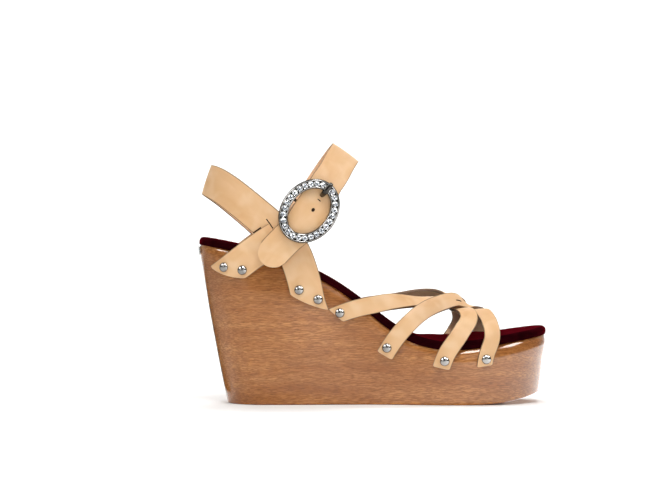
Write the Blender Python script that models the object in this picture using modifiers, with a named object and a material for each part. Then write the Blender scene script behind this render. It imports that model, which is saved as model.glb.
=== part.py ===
"""Strappy wedge sandal for the right foot: a wooden wedge, a padded insole, studded leather straps and a jewelled buckle.

The toe points along +X, the outer side of the foot is -Y and the floor is z = 0.
Sizes are in millimetres and become metres when a mesh is made.
"""

import math

import bmesh
import bpy
import numpy as np
from mathutils import Matrix, Vector

MM = 0.001
GAP = 0.3
SEAT_GAP = 0.5
OUTER, INNER = -1, 1

# Wedge: one block of wood under the whole foot
SOLE_LENGTH = 233.0
HEEL_X = -116.3
HEEL_UNDERCUT = 18.4
TOE_UNDERCUT = 4.0
BACK_CURVE = 0.9
SIDE_TAPER = 1.6
TOE_SPRING = 9.0
TOE_SPRING_FROM = 58.0
HEEL_ROUND = 31.0
TOE_ROUND = 52.0
TOE_SQUARENESS = 2.5
SOLE_STATIONS = 32
END_SHARES = (0.0003, 0.0010)

# Share of the length from the heel, the middle line's y, half the width before the ends are rounded
SOLE_PLAN = (
    (0.00, 0.0, 30.0),
    (0.13, -0.2, 31.2),
    (0.28, -1.1, 30.6),
    (0.42, -2.0, 29.6),
    (0.55, -2.3, 33.2),
    (0.68, -2.4, 40.4),
    (0.80, -1.6, 42.2),
    (0.92, 1.5, 40.0),
    (1.00, 5.0, 34.0),
)

# x and z of the wood under the foot, from the heel to the toe
FOOTBED_LINE = (
    (-116.3, 106.4),
    (-95.0, 102.0),
    (-65.0, 93.2),
    (-35.0, 80.6),
    (-10.0, 63.6),
    (10.0, 48.4),
    (30.0, 39.4),
    (52.0, 37.0),
    (80.0, 40.4),
    (116.7, 46.5),
)

# Share of the height, millimetres added to it and inset from the outline, up one side of the wood
WOOD_EDGE = (
    (0.00, 0.0, 1.2),
    (0.00, 1.2, 0.0),
    (0.40, 0.0, 0.0),
    (0.75, 0.0, 0.0),
    (1.00, -2.0, 0.0),
    (1.00, -0.6, 0.6),
    (1.00, 0.0, 2.0),
)

# Insole: a padded sheet with a full round edge
INSOLE_THICKNESS = 5.0
INSOLE_SET_IN = 0.2
INSOLE_EDGE_STEPS = 5

# Leather straps
LEATHER = 2.0
HEEL_STRAP_WIDTH = 22.0
ANKLE_WIDTH = 21.2
BUCKLE_END_WIDTH = 18.0
TOE_STRAP_WIDTH = 11.6
TOE_STRAP_END_WIDTH = 10.4

# The foot that the ankle straps lie on: its middle, and its reach along the foot and across it
ANKLE_MIDDLE = (-46.8, 0.0, 129.3)
ANKLE_REACH = 66.0
ANKLE_HALF_WIDTH = 36.0
ANKLE_LIFT_FROM = 96.0
ANKLE_LIFT_OVER = 36.0

# The foot that the toe straps lie on: a ridge, half as wide as this at the ball and at the toes
TOE_STRAP_RISE = 24.0
RIDGE_BALL_X = 56.0
RIDGE_TOES_X = 68.0
RIDGE_CROSSING = (9.0, 40.0)
RIDGE_REAR = (30.0, 30.0)
RIDGE_ARCH = (42.0, 42.0)

# The foot's inner side is longer, so the toe straps lie further forward there
INNER_FORWARD = 6.0
INNER_HALF_WIDTH = 40.0

# x, y and z along the middle of each strap. The heel strap runs from one side of the arch to the back of the heel
HEEL_STRAP_HALF = (
    (-42.5, -33.0, 58.5),
    (-45.3, -33.0, 66.5),
    (-48.0, -33.5, 78.5),
    (-51.5, -34.5, 91.0),
    (-56.5, -35.4, 102.6),
    (-64.5, -35.4, 112.3),
    (-74.2, -34.0, 121.2),
    (-84.5, -30.8, 130.0),
    (-97.0, -24.0, 140.2),
    (-107.2, -13.0, 147.2),
    (-112.3, 0.0, 149.7),
)

# The ankle strap runs from the inner side of the heel, through the heel strap, over the instep and through the buckle
ANKLE_STRAP_INNER = (
    (-104.7, 24.0, 83.6),
    (-98.3, 27.0, 88.4),
    (-85.0, 32.8, 98.6),
    (-76.0, 37.0, 105.0),
    (-69.5, 37.3, 109.3),
    (-63.5, 35.0, 113.0),
    (-57.5, 33.0, 117.3),
    (-51.0, 33.2, 122.8),
    (-43.0, 33.6, 132.5),
    (-35.5, 31.5, 144.8),
    (-27.5, 22.5, 157.0),
    (-21.5, 10.5, 165.6),
)
ANKLE_STRAP_FRONT = ((-19.5, 0.0, 168.0),)
ANKLE_STRAP_TAIL = (
    (-21.0, -11.0, 166.2),
    (-25.3, -23.0, 160.0),
    (-30.3, -33.0, 151.8),
    (-35.4, -38.6, 144.6),
    (-39.6, -40.4, 135.8),
    (-44.8, -41.4, 126.6),
    (-51.3, -40.8, 118.6),
    (-58.4, -40.4, 112.0),
    (-64.9, -40.1, 105.6),
    (-69.8, -39.9, 100.2),
    (-75.2, -39.7, 92.8),
)

# The buckle strap runs from the outer side of the heel, through the heel strap, to the buckle's bar
BUCKLE_STRAP_LEG = (
    (-104.7, -24.0, 83.6),
    (-98.3, -27.0, 88.4),
    (-85.0, -32.8, 98.6),
    (-76.0, -37.0, 105.0),
    (-69.5, -37.3, 109.3),
    (-63.5, -35.0, 113.0),
    (-57.5, -33.2, 117.0),
)

# Toe straps. The long ones cross over the foot from the ball on one side to the toes on the other
TOE_CROSS_BALL = (
    (4.9, 37.0, 33.4),
    (9.5, 38.5, 41.0),
    (18.9, 37.5, 52.7),
    (30.5, 30.0, 61.8),
    (39.2, 22.5, 65.8),
    (47.8, 15.0, 67.9),
    (55.5, 7.5, 68.2),
)
TOE_CROSS_TOES = (
    (66.8, 8.0, 64.4),
    (70.8, 17.5, 61.2),
    (74.0, 29.0, 56.0),
    (75.0, 38.0, 49.6),
    (74.2, 42.5, 42.5),
    (71.7, 44.0, 35.6),
    (69.8, 44.0, 26.0),
)
TOE_CROSSING_UNDER = ((62.0, 0.0, 66.4),)
TOE_CROSSING_OVER = ((62.0, 0.0, 68.0),)
TOE_REAR_OUTER = (
    (-28.3, -32.0, 59.0),
    (-16.8, -32.6, 63.2),
    (-3.9, -33.5, 66.2),
    (8.7, -31.0, 68.3),
    (21.4, -24.0, 68.6),
    (34.0, -15.5, 68.6),
    (44.5, -9.2, 69.0),
    (52.2, -5.4, 68.6),
)
TOE_REAR_MIDDLE = ((54.5, 0.0, 68.4),)
TOE_REAR_INNER = (
    (52.2, 5.4, 69.4),
    (44.5, 9.6, 71.8),
    (34.0, 17.0, 72.6),
    (21.4, 24.5, 70.6),
    (8.7, 29.0, 68.0),
    (-3.9, 30.0, 65.6),
    (-16.8, 28.6, 62.8),
    (-28.3, 28.0, 59.0),
)
TOE_ARCH_HALF = (
    (41.3, -43.0, 25.3),
    (44.8, -44.0, 34.4),
    (49.4, -43.5, 41.5),
    (55.2, -39.5, 49.2),
    (59.6, -32.0, 56.4),
    (61.0, -22.0, 61.6),
    (60.0, -10.0, 65.0),
    (59.4, 0.0, 66.2),
)

# Length of a strap's end that lies on the wood, and the length over which it then leaves it
SEAT_FRONT_LEG = (34.0, 16.0)
SEAT_REAR_LEG = (26.0, 10.0)
SEAT_TOE_REAR = (26.0, 14.0)
SEAT_TOE = (20.0, 14.0)
NO_SEAT = (0.0, 0.0)
SEAT_LEAST_SIDE = 0.4

# How much longer a strap's end is along one edge than along the other
FRONT_LEG_CUT = 17.0
REAR_LEG_CUT = 15.3
TOE_REAR_CUT = 5.3

# Studs: dome-headed nails through the strap ends, with x and z on the outer side and the share of the shift inside
STUD_RADIUS = 3.2
STUD_HEIGHT = 2.2
STUD_SHANK_RADIUS = 0.9
STUD_SHANK_LENGTH = 11.0
STUD_TURNS = 8
STUD_DOME_STEPS = 3
STUD_HOLE_RADIUS = 1.25
STUD_HOLE_SIDES = 6
STUDS = (
    ("heel_back", -100.3, 91.4, 0.0),
    ("heel_front", -89.2, 89.4, 0.0),
    ("arch_back", -52.2, 76.2, 0.0),
    ("arch_front", -39.6, 69.9, 0.0),
    ("toe_rear", -25.1, 61.0, 1.0),
    ("toe_ball", 6.3, 38.0, 1.0),
    ("toe_arch", 43.6, 29.5, 1.0),
    ("toe_front", 70.5, 30.7, 1.0),
)

# Buckle: an oval frame in the plane of the ankle's outer side
BUCKLE_CENTRE = (-46.0, 128.2)
BUCKLE_TURN = math.radians(50.4)
BUCKLE_HALF_LENGTH = 22.3
BUCKLE_HALF_WIDTH = 17.9
BUCKLE_BAND = 5.5
BUCKLE_BACK_Y = -43.1
BUCKLE_SEGMENTS = 44
BAR_RADIUS = 1.0
BAR_Y = -36.8

# Distance from the frame's inner edge and height above its back, round the frame's section
BUCKLE_SECTION = (
    (0.4, 0.0),
    (5.1, 0.0),
    (5.5, 0.5),
    (5.5, 2.2),
    (5.2, 2.6),
    (4.9, 2.6),
    (4.8, 1.6),
    (0.7, 1.6),
    (0.6, 2.6),
    (0.3, 2.6),
    (0.0, 2.2),
    (0.0, 0.5),
)

# Half of the bar, from the frame to its middle: distance across the buckle and y
BAR_HALF = (
    (15.4, -44.4),
    (15.3, -42.5),
    (14.9, -39.5),
    (13.8, -37.4),
    (11.5, -36.8),
    (4.0, -36.8),
)

# The prong, from the bar to its tip: distance along the buckle and y
PRONG_RADIUS = 0.8
PRONG_COLLAR_RADIUS = 0.7
PRONG_LINE = (
    (2.1, -37.1),
    (7.0, -37.5),
    (11.0, -38.5),
    (13.1, -40.8),
    (14.5, -44.5),
    (16.0, -46.8),
    (19.5, -47.3),
    (22.8, -47.0),
)
PRONG_HOLE_FROM = 9.6
PRONG_HOLE_TO = 16.4
PRONG_HOLE_WIDTH = 2.4
PRONG_SLOT_WIDTH = 4.2
PRONG_SLOT_FROM = -6.5
PRONG_SLOT_TO = 6.0

# The buckle strap's loop round the bar: distance along the buckle and y, to its sewn end
BAR_LOOP = (
    (-7.6, -33.9),
    (-3.4, -34.45),
    (0.0, -34.5),
    (1.63, -35.17),
    (2.3, -36.8),
    (1.63, -38.43),
    (0.0, -39.1),
    (-4.5, -38.3),
    (-9.0, -36.5),
)

# Share of the buckle strap's cells that lie in its loop, and of the ankle strap's cells and length in its leg
LOOP_CELL_SHARE = 0.45
LEG_CELL_SHARE = (0.20, 0.12)

# Stones: the row is open where the prong rests
STONE_COUNT = 26
STONE_SIDES = 8
STONE_OPEN_SHARE = 0.035
STONE_GIRDLE_RADIUS = 1.82
STONE_BASE_RADIUS = 1.2
STONE_TABLE_RADIUS = 1.05
STONE_GIRDLE_HEIGHT = 0.55
STONE_HEIGHT = 1.35
STONE_SEAT = 1.6 + GAP

# Plain metal plate on the back of the heel
PLATE_HALF_WIDTH = 7.0
PLATE_LOW = 99.6
PLATE_HIGH = 105.4
PLATE_THICKNESS = 1.3

# Colours, roughness and metal share of each finish
FINISHES = {
    "lacquered_wood": ((0.43, 0.20, 0.085), 0.28, 0.0),
    "velvet": ((0.075, 0.006, 0.014), 0.85, 0.0),
    "tan_leather": ((0.78, 0.50, 0.25), 0.50, 0.0),
    "nickel": ((0.62, 0.62, 0.64), 0.22, 1.0),
    "crystal": ((0.82, 0.85, 0.90), 0.05, 0.0),
}


def smooth_step(value):
    value = min(max(value, 0.0), 1.0)
    return value * value * (3 - 2 * value)


def natural_spline(knots, values):
    """A smooth curve through the values, as a function of the knot."""
    knots = np.asarray(knots, float)
    values = np.asarray(values, float)
    steps = np.diff(knots)
    last = len(knots) - 1
    system = np.eye(len(knots))
    bends = np.zeros(values.shape)
    for i in range(1, last):
        system[i, i - 1 : i + 2] = steps[i - 1], 2 * (steps[i - 1] + steps[i]), steps[i]
        bends[i] = 6 * (
            (values[i + 1] - values[i]) / steps[i] - (values[i] - values[i - 1]) / steps[i - 1]
        )
    second = np.linalg.solve(system, bends)

    def at(knot):
        i = int(np.clip(np.searchsorted(knots, knot) - 1, 0, last - 1))
        before = (knots[i + 1] - knot) / steps[i]
        after = 1 - before
        bend = (before**3 - before) * second[i] + (after**3 - after) * second[i + 1]
        return before * values[i] + after * values[i + 1] + bend * steps[i] ** 2 / 6

    return at


def through_rows(rows):
    """A smooth curve through rows of points, as a function of the length along it, and its length."""
    rows = np.asarray(rows, float)
    knots = np.concatenate([[0.0], np.cumsum(np.linalg.norm(np.diff(rows, axis=0), axis=1))])
    curve = natural_spline(knots, rows)
    fine = np.linspace(0.0, knots[-1], 24 * len(rows))
    points = np.array([curve(knot) for knot in fine])
    lengths = np.concatenate([[0.0], np.cumsum(np.linalg.norm(np.diff(points, axis=0), axis=1))])
    return lambda length: curve(np.interp(length, lengths, fine)), lengths[-1]


def unit(vector):
    return vector / np.linalg.norm(vector)


def across_foot(rows):
    """The same rows on the other side of the foot."""
    return tuple((x, -y, z) for x, y, z in rows)


def on_inner_side(rows):
    """Toe strap rows of the inner side, moved forward where they lie beside the sole."""
    return tuple((x + INNER_FORWARD * min(abs(y) / INNER_HALF_WIDTH, 1.0), y, z) for x, y, z in rows)


footbed = natural_spline(*zip(*FOOTBED_LINE))
plan_middle = natural_spline([row[0] for row in SOLE_PLAN], [row[1] for row in SOLE_PLAN])
plan_half = natural_spline([row[0] for row in SOLE_PLAN], [row[2] for row in SOLE_PLAN])


def end_rounding(share):
    """How much of its width the outline keeps near the heel and the toe, where it is elliptical."""
    heel = 1 - min(share * SOLE_LENGTH / HEEL_ROUND, 1.0)
    toe = 1 - min((1 - share) * SOLE_LENGTH / TOE_ROUND, 1.0)
    return math.sqrt(1 - heel**2) * (1 - toe**TOE_SQUARENESS) ** (1 / TOE_SQUARENESS)


def floor_shift(share):
    """How far the outline on the floor is set in from the outline under the foot."""
    return HEEL_UNDERCUT * (1 - share) ** 2 - TOE_UNDERCUT * share**8


def floor_height(x):
    beyond = max(x - TOE_SPRING_FROM, 0.0) / (HEEL_X + SOLE_LENGTH - TOE_SPRING_FROM)
    return TOE_SPRING * beyond**2


def sole_outline(share, side, inset):
    """x and y of the outline under the foot, set in evenly."""
    half_length = SOLE_LENGTH / 2
    x = HEEL_X + half_length + (share - 0.5) * 2 * (half_length - inset)
    half = plan_half(share)
    y = plan_middle(share) + side * (half - inset) * end_rounding(share)
    return x, y


def wood_point(share, side, rise, raised=0.0, inset=0.0):
    """A point on the side of the wedge, with rise 0 on the floor and 1 under the foot."""
    x_top, y = sole_outline(share, side, inset)
    x_low = x_top + floor_shift(share)
    lean = rise**BACK_CURVE
    x = x_low + (x_top - x_low) * lean
    low, top = floor_height(x_low), footbed(x_top)
    y -= side * SIDE_TAPER * (1 - rise) * end_rounding(share)
    return np.array([x, y, low + (top - low) * rise + raised])


def wood_side(x, z, side):
    """The y of the wedge's side at a place on it."""
    share = 0.5
    rise = 1.0
    for _ in range(12):
        x_top = HEEL_X + share * SOLE_LENGTH
        low = floor_height(x_top + floor_shift(share))
        rise = min(max((z - low) / (footbed(x_top) - low), 0.0), 1.0)
        shift = floor_shift(share) * (1 - rise**BACK_CURVE)
        share = min(max((x - HEEL_X - shift) / SOLE_LENGTH, 0.002), 0.998)
    return wood_point(share, side, rise)[1]


def wood_normal(x, z, side):
    """The direction out of the wedge's side."""
    step = 1.0
    along = (wood_side(x + step, z, side) - wood_side(x - step, z, side)) / (2 * step)
    upward = (wood_side(x, z + step, side) - wood_side(x, z - step, side)) / (2 * step)
    return unit(np.array([-along, 1.0, -upward]) * side)


def footbed_normal(x):
    step = 1.0
    slope = (footbed(x + step) - footbed(x - step)) / (2 * step)
    return unit(np.array([-slope, 0.0, 1.0]))


def insole_top(x):
    return footbed(x) + (GAP + INSOLE_THICKNESS) / footbed_normal(x)[2]


def ankle_normal(point):
    """The direction out of the ankle: level beside the sole, and round the leg above it."""
    reach = point - np.array(ANKLE_MIDDLE)
    lift = smooth_step((point[2] - ANKLE_LIFT_FROM) / ANKLE_LIFT_OVER)
    return np.array(
        [
            reach[0] / ANKLE_REACH**2,
            reach[1] / ANKLE_HALF_WIDTH**2,
            lift * reach[2] / ANKLE_REACH**2,
        ]
    )


def toe_normal(ridge):
    """The direction out of the forefoot: level beside the sole, and up over a ridge along its top."""

    def normal_at(point):
        rise = (point[2] - insole_top(point[0])) / TOE_STRAP_RISE
        toward_toes = smooth_step((point[0] - RIDGE_BALL_X) / (RIDGE_TOES_X - RIDGE_BALL_X))
        half_width = ridge[0] + (ridge[1] - ridge[0]) * toward_toes
        return np.array([0.0, point[1] / half_width, min(max(rise, 0.0), 1.0)])

    return normal_at


def slanted(cut):
    """A strap's end that is longer along one edge: the length trimmed off at a place across the strap."""
    return lambda across: abs(cut) / 2 + across * cut / 2


def rounded(width):
    return lambda across: width / 2 * (1 - math.sqrt(max(1 - across**2, 0.0)))


def square(_across):
    return 0.0


def strap_surface(rows, width, normal_at, seats, trims, loop_from=None, end_width=None):
    """The middle of a strap's thickness, as a function of the share of its length and the place across it.

    Near an end with a seat the strap lies on the wood. After loop_from its width keeps its direction, so
    that it can turn back round a bar.
    """
    curve, length = through_rows(rows)
    end_width = end_width or width
    count = 200
    lengths = np.linspace(0.0, length, count)
    points = np.array([curve(value) for value in lengths])
    tangents = np.array([unit(step) for step in np.gradient(points, axis=0)])
    widths = []
    for at, point, tangent in zip(lengths, points, tangents):
        if loop_from is None or at < loop_from:
            widths.append(unit(np.cross(tangent, unit(normal_at(point)))))
        else:
            carried = widths[-1] - np.dot(widths[-1], tangent) * tangent
            widths.append(unit(carried))
    widths = np.array(widths)

    def surface(share, across):
        first, last = trims[0](across), length - trims[1](across)
        at = first + (last - first) * share
        index = at / length * (count - 1)
        side = np.array([np.interp(index, range(count), widths[:, axis]) for axis in range(3)])
        here = width + (end_width - width) * smooth_step(at / length)
        point = curve(at) + unit(side) * across * here / 2
        for (seat, leaving), distance in zip(seats, (at, length - at)):
            if seat:
                hold = 1 - smooth_step((distance - seat) / leaving)
                facing = OUTER if point[1] < 0 else INNER
                outward = wood_normal(point[0], point[2], facing)
                away = (SEAT_GAP + LEATHER / 2) / max(abs(outward[1]), SEAT_LEAST_SIDE)
                seated = wood_side(point[0], point[2], facing) + facing * away
                point[1] += hold * (seated - point[1])
        return point

    return surface


def spread_cells(surface, cell_share, length_share):
    """The same surface with a share of its cells, from its start, on another share of its length."""
    return lambda share, across: surface(
        np.interp(share, (0.0, cell_share, 1.0), (0.0, length_share, 1.0)), across
    )


def collection(name):
    made = bpy.data.collections.new(name)
    bpy.context.scene.collection.children.link(made)
    return made


def add_object(name, mesh, group, finish=None):
    """A new object in a collection. One with no finish is a helper that only cuts or joins."""
    made = bpy.data.objects.new(name, mesh)
    group.objects.link(made)
    if finish:
        mesh.materials.append(finish)
    else:
        made.hide_render = True
        made.display_type = "WIRE"
    return made


def make_finishes():
    made = {}
    for name, (colour, roughness, metal) in FINISHES.items():
        material = bpy.data.materials.new(name)
        material.use_nodes = True
        shader = material.node_tree.nodes["Principled BSDF"]
        shader.inputs["Base Color"].default_value = (*colour, 1.0)
        shader.inputs["Roughness"].default_value = roughness
        shader.inputs["Metallic"].default_value = metal
        made[name] = material
    return made


def mesh_from(bm, name, sharp_angle=math.radians(35)):
    bmesh.ops.recalc_face_normals(bm, faces=bm.faces[:])
    mesh = bpy.data.meshes.new(name)
    bm.to_mesh(mesh)
    bm.free()
    mesh.shade_smooth()
    mesh.set_sharp_from_angle(angle=sharp_angle)
    return mesh


def loft(name, rings, closed=False):
    """A solid through rings of points, capped at its ends unless it closes on itself."""
    bm = bmesh.new()
    loops = [[bm.verts.new(Vector(point) * MM) for point in ring] for ring in rings]
    pairs = list(zip(loops, loops[1:] + loops[:1])) if closed else list(zip(loops, loops[1:]))
    for here, there in pairs:
        for i in range(len(here)):
            j = (i + 1) % len(here)
            bm.faces.new((here[i], here[j], there[j], there[i]))
    if not closed:
        bm.faces.new(loops[0])
        bm.faces.new(loops[-1])
    return mesh_from(bm, name)


def sheet(name, surface, along_cells, across_cells):
    """A grid laid on a surface: its x is the share along it and its y the place across it."""
    bm = bmesh.new()
    bmesh.ops.create_grid(bm, x_segments=along_cells, y_segments=across_cells, size=1.0)
    for vert in bm.verts:
        vert.co = Vector(surface((vert.co.x + 1) / 2, vert.co.y)) * MM
    mesh = bpy.data.meshes.new(name)
    bm.to_mesh(mesh)
    bm.free()
    mesh.shade_smooth()
    return mesh


def thicken(obj, thickness):
    solidify = obj.modifiers.new("thickness", "SOLIDIFY")
    solidify.thickness = thickness * MM
    solidify.offset = 0.0
    solidify.use_even_offset = True


def combine(obj, operation, *others):
    for other in others:
        boolean = obj.modifiers.new(f"{operation.lower()} {other.name}", "BOOLEAN")
        boolean.operation = operation
        boolean.object = other


def tube(name, points, radius, group, sides_step=2):
    """A round wire along points, as a closed mesh that can be cut and joined."""
    curve = bpy.data.curves.new(name, "CURVE")
    curve.dimensions = "3D"
    curve.bevel_depth = radius * MM
    curve.bevel_resolution = sides_step
    curve.use_fill_caps = True
    spline = curve.splines.new("POLY")
    spline.points.add(len(points) - 1)
    for target, point in zip(spline.points, points):
        target.co = (*(Vector(point) * MM), 1.0)
    wire = bpy.data.objects.new(name + "_line", curve)
    group.objects.link(wire)
    bpy.context.view_layer.update()
    graph = bpy.context.evaluated_depsgraph_get()
    mesh = bpy.data.meshes.new_from_object(wire.evaluated_get(graph))
    bpy.data.objects.remove(wire)
    bm = bmesh.new()
    bm.from_mesh(mesh)
    bmesh.ops.remove_doubles(bm, verts=bm.verts[:], dist=1e-6)
    bpy.data.meshes.remove(mesh)
    return mesh_from(bm, name)


def buckle_point(along, across, y):
    """A point in the buckle's own plane: along its long axis, across it, and at a depth."""
    cosine, sine = math.cos(BUCKLE_TURN), math.sin(BUCKLE_TURN)
    x = BUCKLE_CENTRE[0] + along * cosine - across * sine
    z = BUCKLE_CENTRE[1] + along * sine + across * cosine
    return np.array([x, y, z])


def buckle_line(rows):
    """Rows of distance along the buckle and y, in its middle."""
    return [buckle_point(along, 0.0, y) for along, y in rows]


def frame_point(turn, from_inner_edge):
    """Distance along and across the buckle of a point on its band, at an angle round it."""
    half_length = BUCKLE_HALF_LENGTH - BUCKLE_BAND / 2
    half_width = BUCKLE_HALF_WIDTH - BUCKLE_BAND / 2
    along, across = half_length * math.cos(turn), half_width * math.sin(turn)
    outward = unit(np.array([half_width * math.cos(turn), half_length * math.sin(turn)]))
    reach = from_inner_edge - BUCKLE_BAND / 2
    return along + outward[0] * reach, across + outward[1] * reach


def sole_stations():
    """Shares of the length, close together at the round ends."""
    middle = [0.5 - 0.5 * math.cos(math.pi * i / SOLE_STATIONS) for i in range(1, SOLE_STATIONS)]
    return [*END_SHARES, *middle, *(1 - share for share in reversed(END_SHARES))]


def make_wedge(parts, finishes, nails):
    rings = []
    for share in sole_stations():
        outer = [wood_point(share, OUTER, *row) for row in WOOD_EDGE]
        inner = [wood_point(share, INNER, *row) for row in reversed(WOOD_EDGE)]
        rings.append(outer + inner)
    wedge = add_object("wedge_sole", loft("wedge_sole", rings), parts, finishes["lacquered_wood"])
    combine(wedge, "DIFFERENCE", nails)


def make_insole(parts, finishes):
    radius = INSOLE_THICKNESS / 2
    angles = [math.pi * (i / INSOLE_EDGE_STEPS - 0.5) for i in range(INSOLE_EDGE_STEPS + 1)]
    rings = []
    for share in sole_stations():
        ring = []
        for side, order in ((OUTER, angles), (INNER, angles[::-1])):
            for angle in order:
                inset = INSOLE_SET_IN + radius * (1 - math.cos(angle))
                x, y = sole_outline(share, side, inset)
                rise = GAP + radius * (1 + math.sin(angle))
                ring.append(np.array([x, y, footbed(x)]) + footbed_normal(x) * rise)
        rings.append(ring)
    add_object("insole", loft("insole", rings), parts, finishes["velvet"])


def add_strap(name, group, surface, along_cells, across_cells, finish=None):
    strap = add_object(name, sheet(name, surface, along_cells, across_cells), group, finish)
    thicken(strap, LEATHER)
    return strap


def make_toe_straps(parts, helpers, finishes, nails):
    toe_seats = (SEAT_TOE, SEAT_TOE)
    rear_seats = (SEAT_TOE_REAR, SEAT_TOE_REAR)
    ends = (square, square)
    rear_ends = (slanted(TOE_REAR_CUT), slanted(TOE_REAR_CUT))
    under = across_foot(TOE_CROSS_BALL) + TOE_CROSSING_UNDER + on_inner_side(TOE_CROSS_TOES)
    over = on_inner_side(TOE_CROSS_BALL) + TOE_CROSSING_OVER + across_foot(TOE_CROSS_TOES)
    rear = TOE_REAR_OUTER + TOE_REAR_MIDDLE + on_inner_side(TOE_REAR_INNER)
    arch = TOE_ARCH_HALF[:-1] + on_inner_side(across_foot(TOE_ARCH_HALF))[::-1]
    patterns = (
        ("toe_cross_over", over, RIDGE_CROSSING, toe_seats, ends, TOE_STRAP_END_WIDTH, 30),
        ("toe_rear", rear, RIDGE_REAR, rear_seats, rear_ends, TOE_STRAP_WIDTH, 42),
        ("toe_arch", arch, RIDGE_ARCH, toe_seats, ends, TOE_STRAP_WIDTH, 30),
    )
    surface = strap_surface(
        under, TOE_STRAP_WIDTH, toe_normal(RIDGE_CROSSING), toe_seats, ends, end_width=TOE_STRAP_END_WIDTH
    )
    upper = add_strap("toe_straps", parts, surface, 30, 2, finishes["tan_leather"])
    for name, rows, ridge, seats, trims, end_width, cells in patterns:
        surface = strap_surface(rows, TOE_STRAP_WIDTH, toe_normal(ridge), seats, trims, end_width=end_width)
        combine(upper, "UNION", add_strap(name, helpers, surface, cells, 2))
    combine(upper, "DIFFERENCE", nails)


def box_cutter(name, helpers, along, across, depth):
    """A block in the buckle's own directions, from one corner to the opposite one."""
    bm = bmesh.new()
    bmesh.ops.create_cube(bm, size=1.0)
    for vert in bm.verts:
        place = [low + (high - low) * (share + 0.5) for (low, high), share in zip((along, across, depth), vert.co)]
        vert.co = Vector(buckle_point(*place)) * MM
    return add_object(name, mesh_from(bm, name), helpers)


def make_ankle_straps(parts, helpers, finishes, nails):
    front_seats = (SEAT_FRONT_LEG, SEAT_FRONT_LEG)
    leg_cuts = (slanted(-FRONT_LEG_CUT), slanted(-FRONT_LEG_CUT))
    heel = HEEL_STRAP_HALF + across_foot(HEEL_STRAP_HALF)[-2::-1]
    surface = strap_surface(heel, HEEL_STRAP_WIDTH, ankle_normal, front_seats, leg_cuts)
    upper = add_strap("ankle_straps", parts, surface, 44, 3, finishes["tan_leather"])

    rows = ANKLE_STRAP_INNER + ANKLE_STRAP_FRONT + ANKLE_STRAP_TAIL
    trims = (slanted(-REAR_LEG_CUT), rounded(ANKLE_WIDTH))
    surface = strap_surface(rows, ANKLE_WIDTH, ankle_normal, (SEAT_REAR_LEG, NO_SEAT), trims)
    ankle = add_strap("ankle_strap", helpers, spread_cells(surface, *LEG_CELL_SHARE), 56, 3)
    hole = box_cutter(
        "prong_hole",
        helpers,
        (PRONG_HOLE_FROM, PRONG_HOLE_TO),
        (-PRONG_HOLE_WIDTH / 2, PRONG_HOLE_WIDTH / 2),
        (BUCKLE_BACK_Y - 1, BAR_Y),
    )
    combine(ankle, "DIFFERENCE", hole)

    rows = BUCKLE_STRAP_LEG + tuple(buckle_line(BAR_LOOP))
    leg_length = through_rows(BUCKLE_STRAP_LEG + tuple(buckle_line(BAR_LOOP[:1])))[1]
    surface = strap_surface(
        rows,
        ANKLE_WIDTH,
        ankle_normal,
        (SEAT_REAR_LEG, NO_SEAT),
        (slanted(REAR_LEG_CUT), square),
        loop_from=leg_length,
        end_width=BUCKLE_END_WIDTH,
    )
    surface = spread_cells(surface, 1 - LOOP_CELL_SHARE, leg_length / through_rows(rows)[1])
    buckle = add_strap("buckle_strap", helpers, surface, 44, 3)
    slot = box_cutter(
        "prong_slot",
        helpers,
        (PRONG_SLOT_FROM, PRONG_SLOT_TO),
        (-PRONG_SLOT_WIDTH / 2, PRONG_SLOT_WIDTH / 2),
        (BUCKLE_BACK_Y + 1, BAR_Y + 4),
    )
    combine(buckle, "DIFFERENCE", slot)
    combine(upper, "UNION", ankle, buckle)
    combine(upper, "DIFFERENCE", nails)


def make_buckle(parts, helpers, finishes):
    rings = []
    for i in range(BUCKLE_SEGMENTS):
        turn = 2 * math.pi * i / BUCKLE_SEGMENTS
        rings.append(
            [
                buckle_point(*frame_point(turn, reach), BUCKLE_BACK_Y - height)
                for reach, height in BUCKLE_SECTION
            ]
        )
    frame = add_object("buckle_frame", loft("buckle_frame", rings, True), parts, finishes["nickel"])
    half = [buckle_point(0.0, across, y) for across, y in BAR_HALF]
    other = [buckle_point(0.0, -across, y) for across, y in reversed(BAR_HALF)]
    curve, length = through_rows(half + other)
    points = [curve(length * i / 16) for i in range(17)]
    bar = add_object("buckle_bar", tube("buckle_bar", points, BAR_RADIUS, helpers), helpers)
    combine(frame, "UNION", bar)

    curve, length = through_rows(buckle_line(PRONG_LINE))
    points = [curve(length * i / 12) for i in range(13)]
    mesh = tube("buckle_prong", points, PRONG_RADIUS, helpers)
    prong = add_object("buckle_prong", mesh, parts, finishes["nickel"])
    bpy.ops.mesh.primitive_torus_add(
        major_radius=(BAR_RADIUS + GAP + PRONG_COLLAR_RADIUS) * MM,
        minor_radius=PRONG_COLLAR_RADIUS * MM,
        major_segments=10,
        minor_segments=6,
    )
    collar = bpy.context.object
    collar.name = "prong_collar"
    bar_axis = Vector(buckle_point(0.0, 1.0, 0.0) - buckle_point(0.0, 0.0, 0.0))
    place = Matrix.Translation(Vector(buckle_point(0.0, 0.0, BAR_Y)) * MM)
    collar.matrix_world = place @ bar_axis.to_track_quat("Z", "Y").to_matrix().to_4x4()
    collar.hide_render = True
    collar.display_type = "WIRE"
    combine(prong, "UNION", collar)


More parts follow.
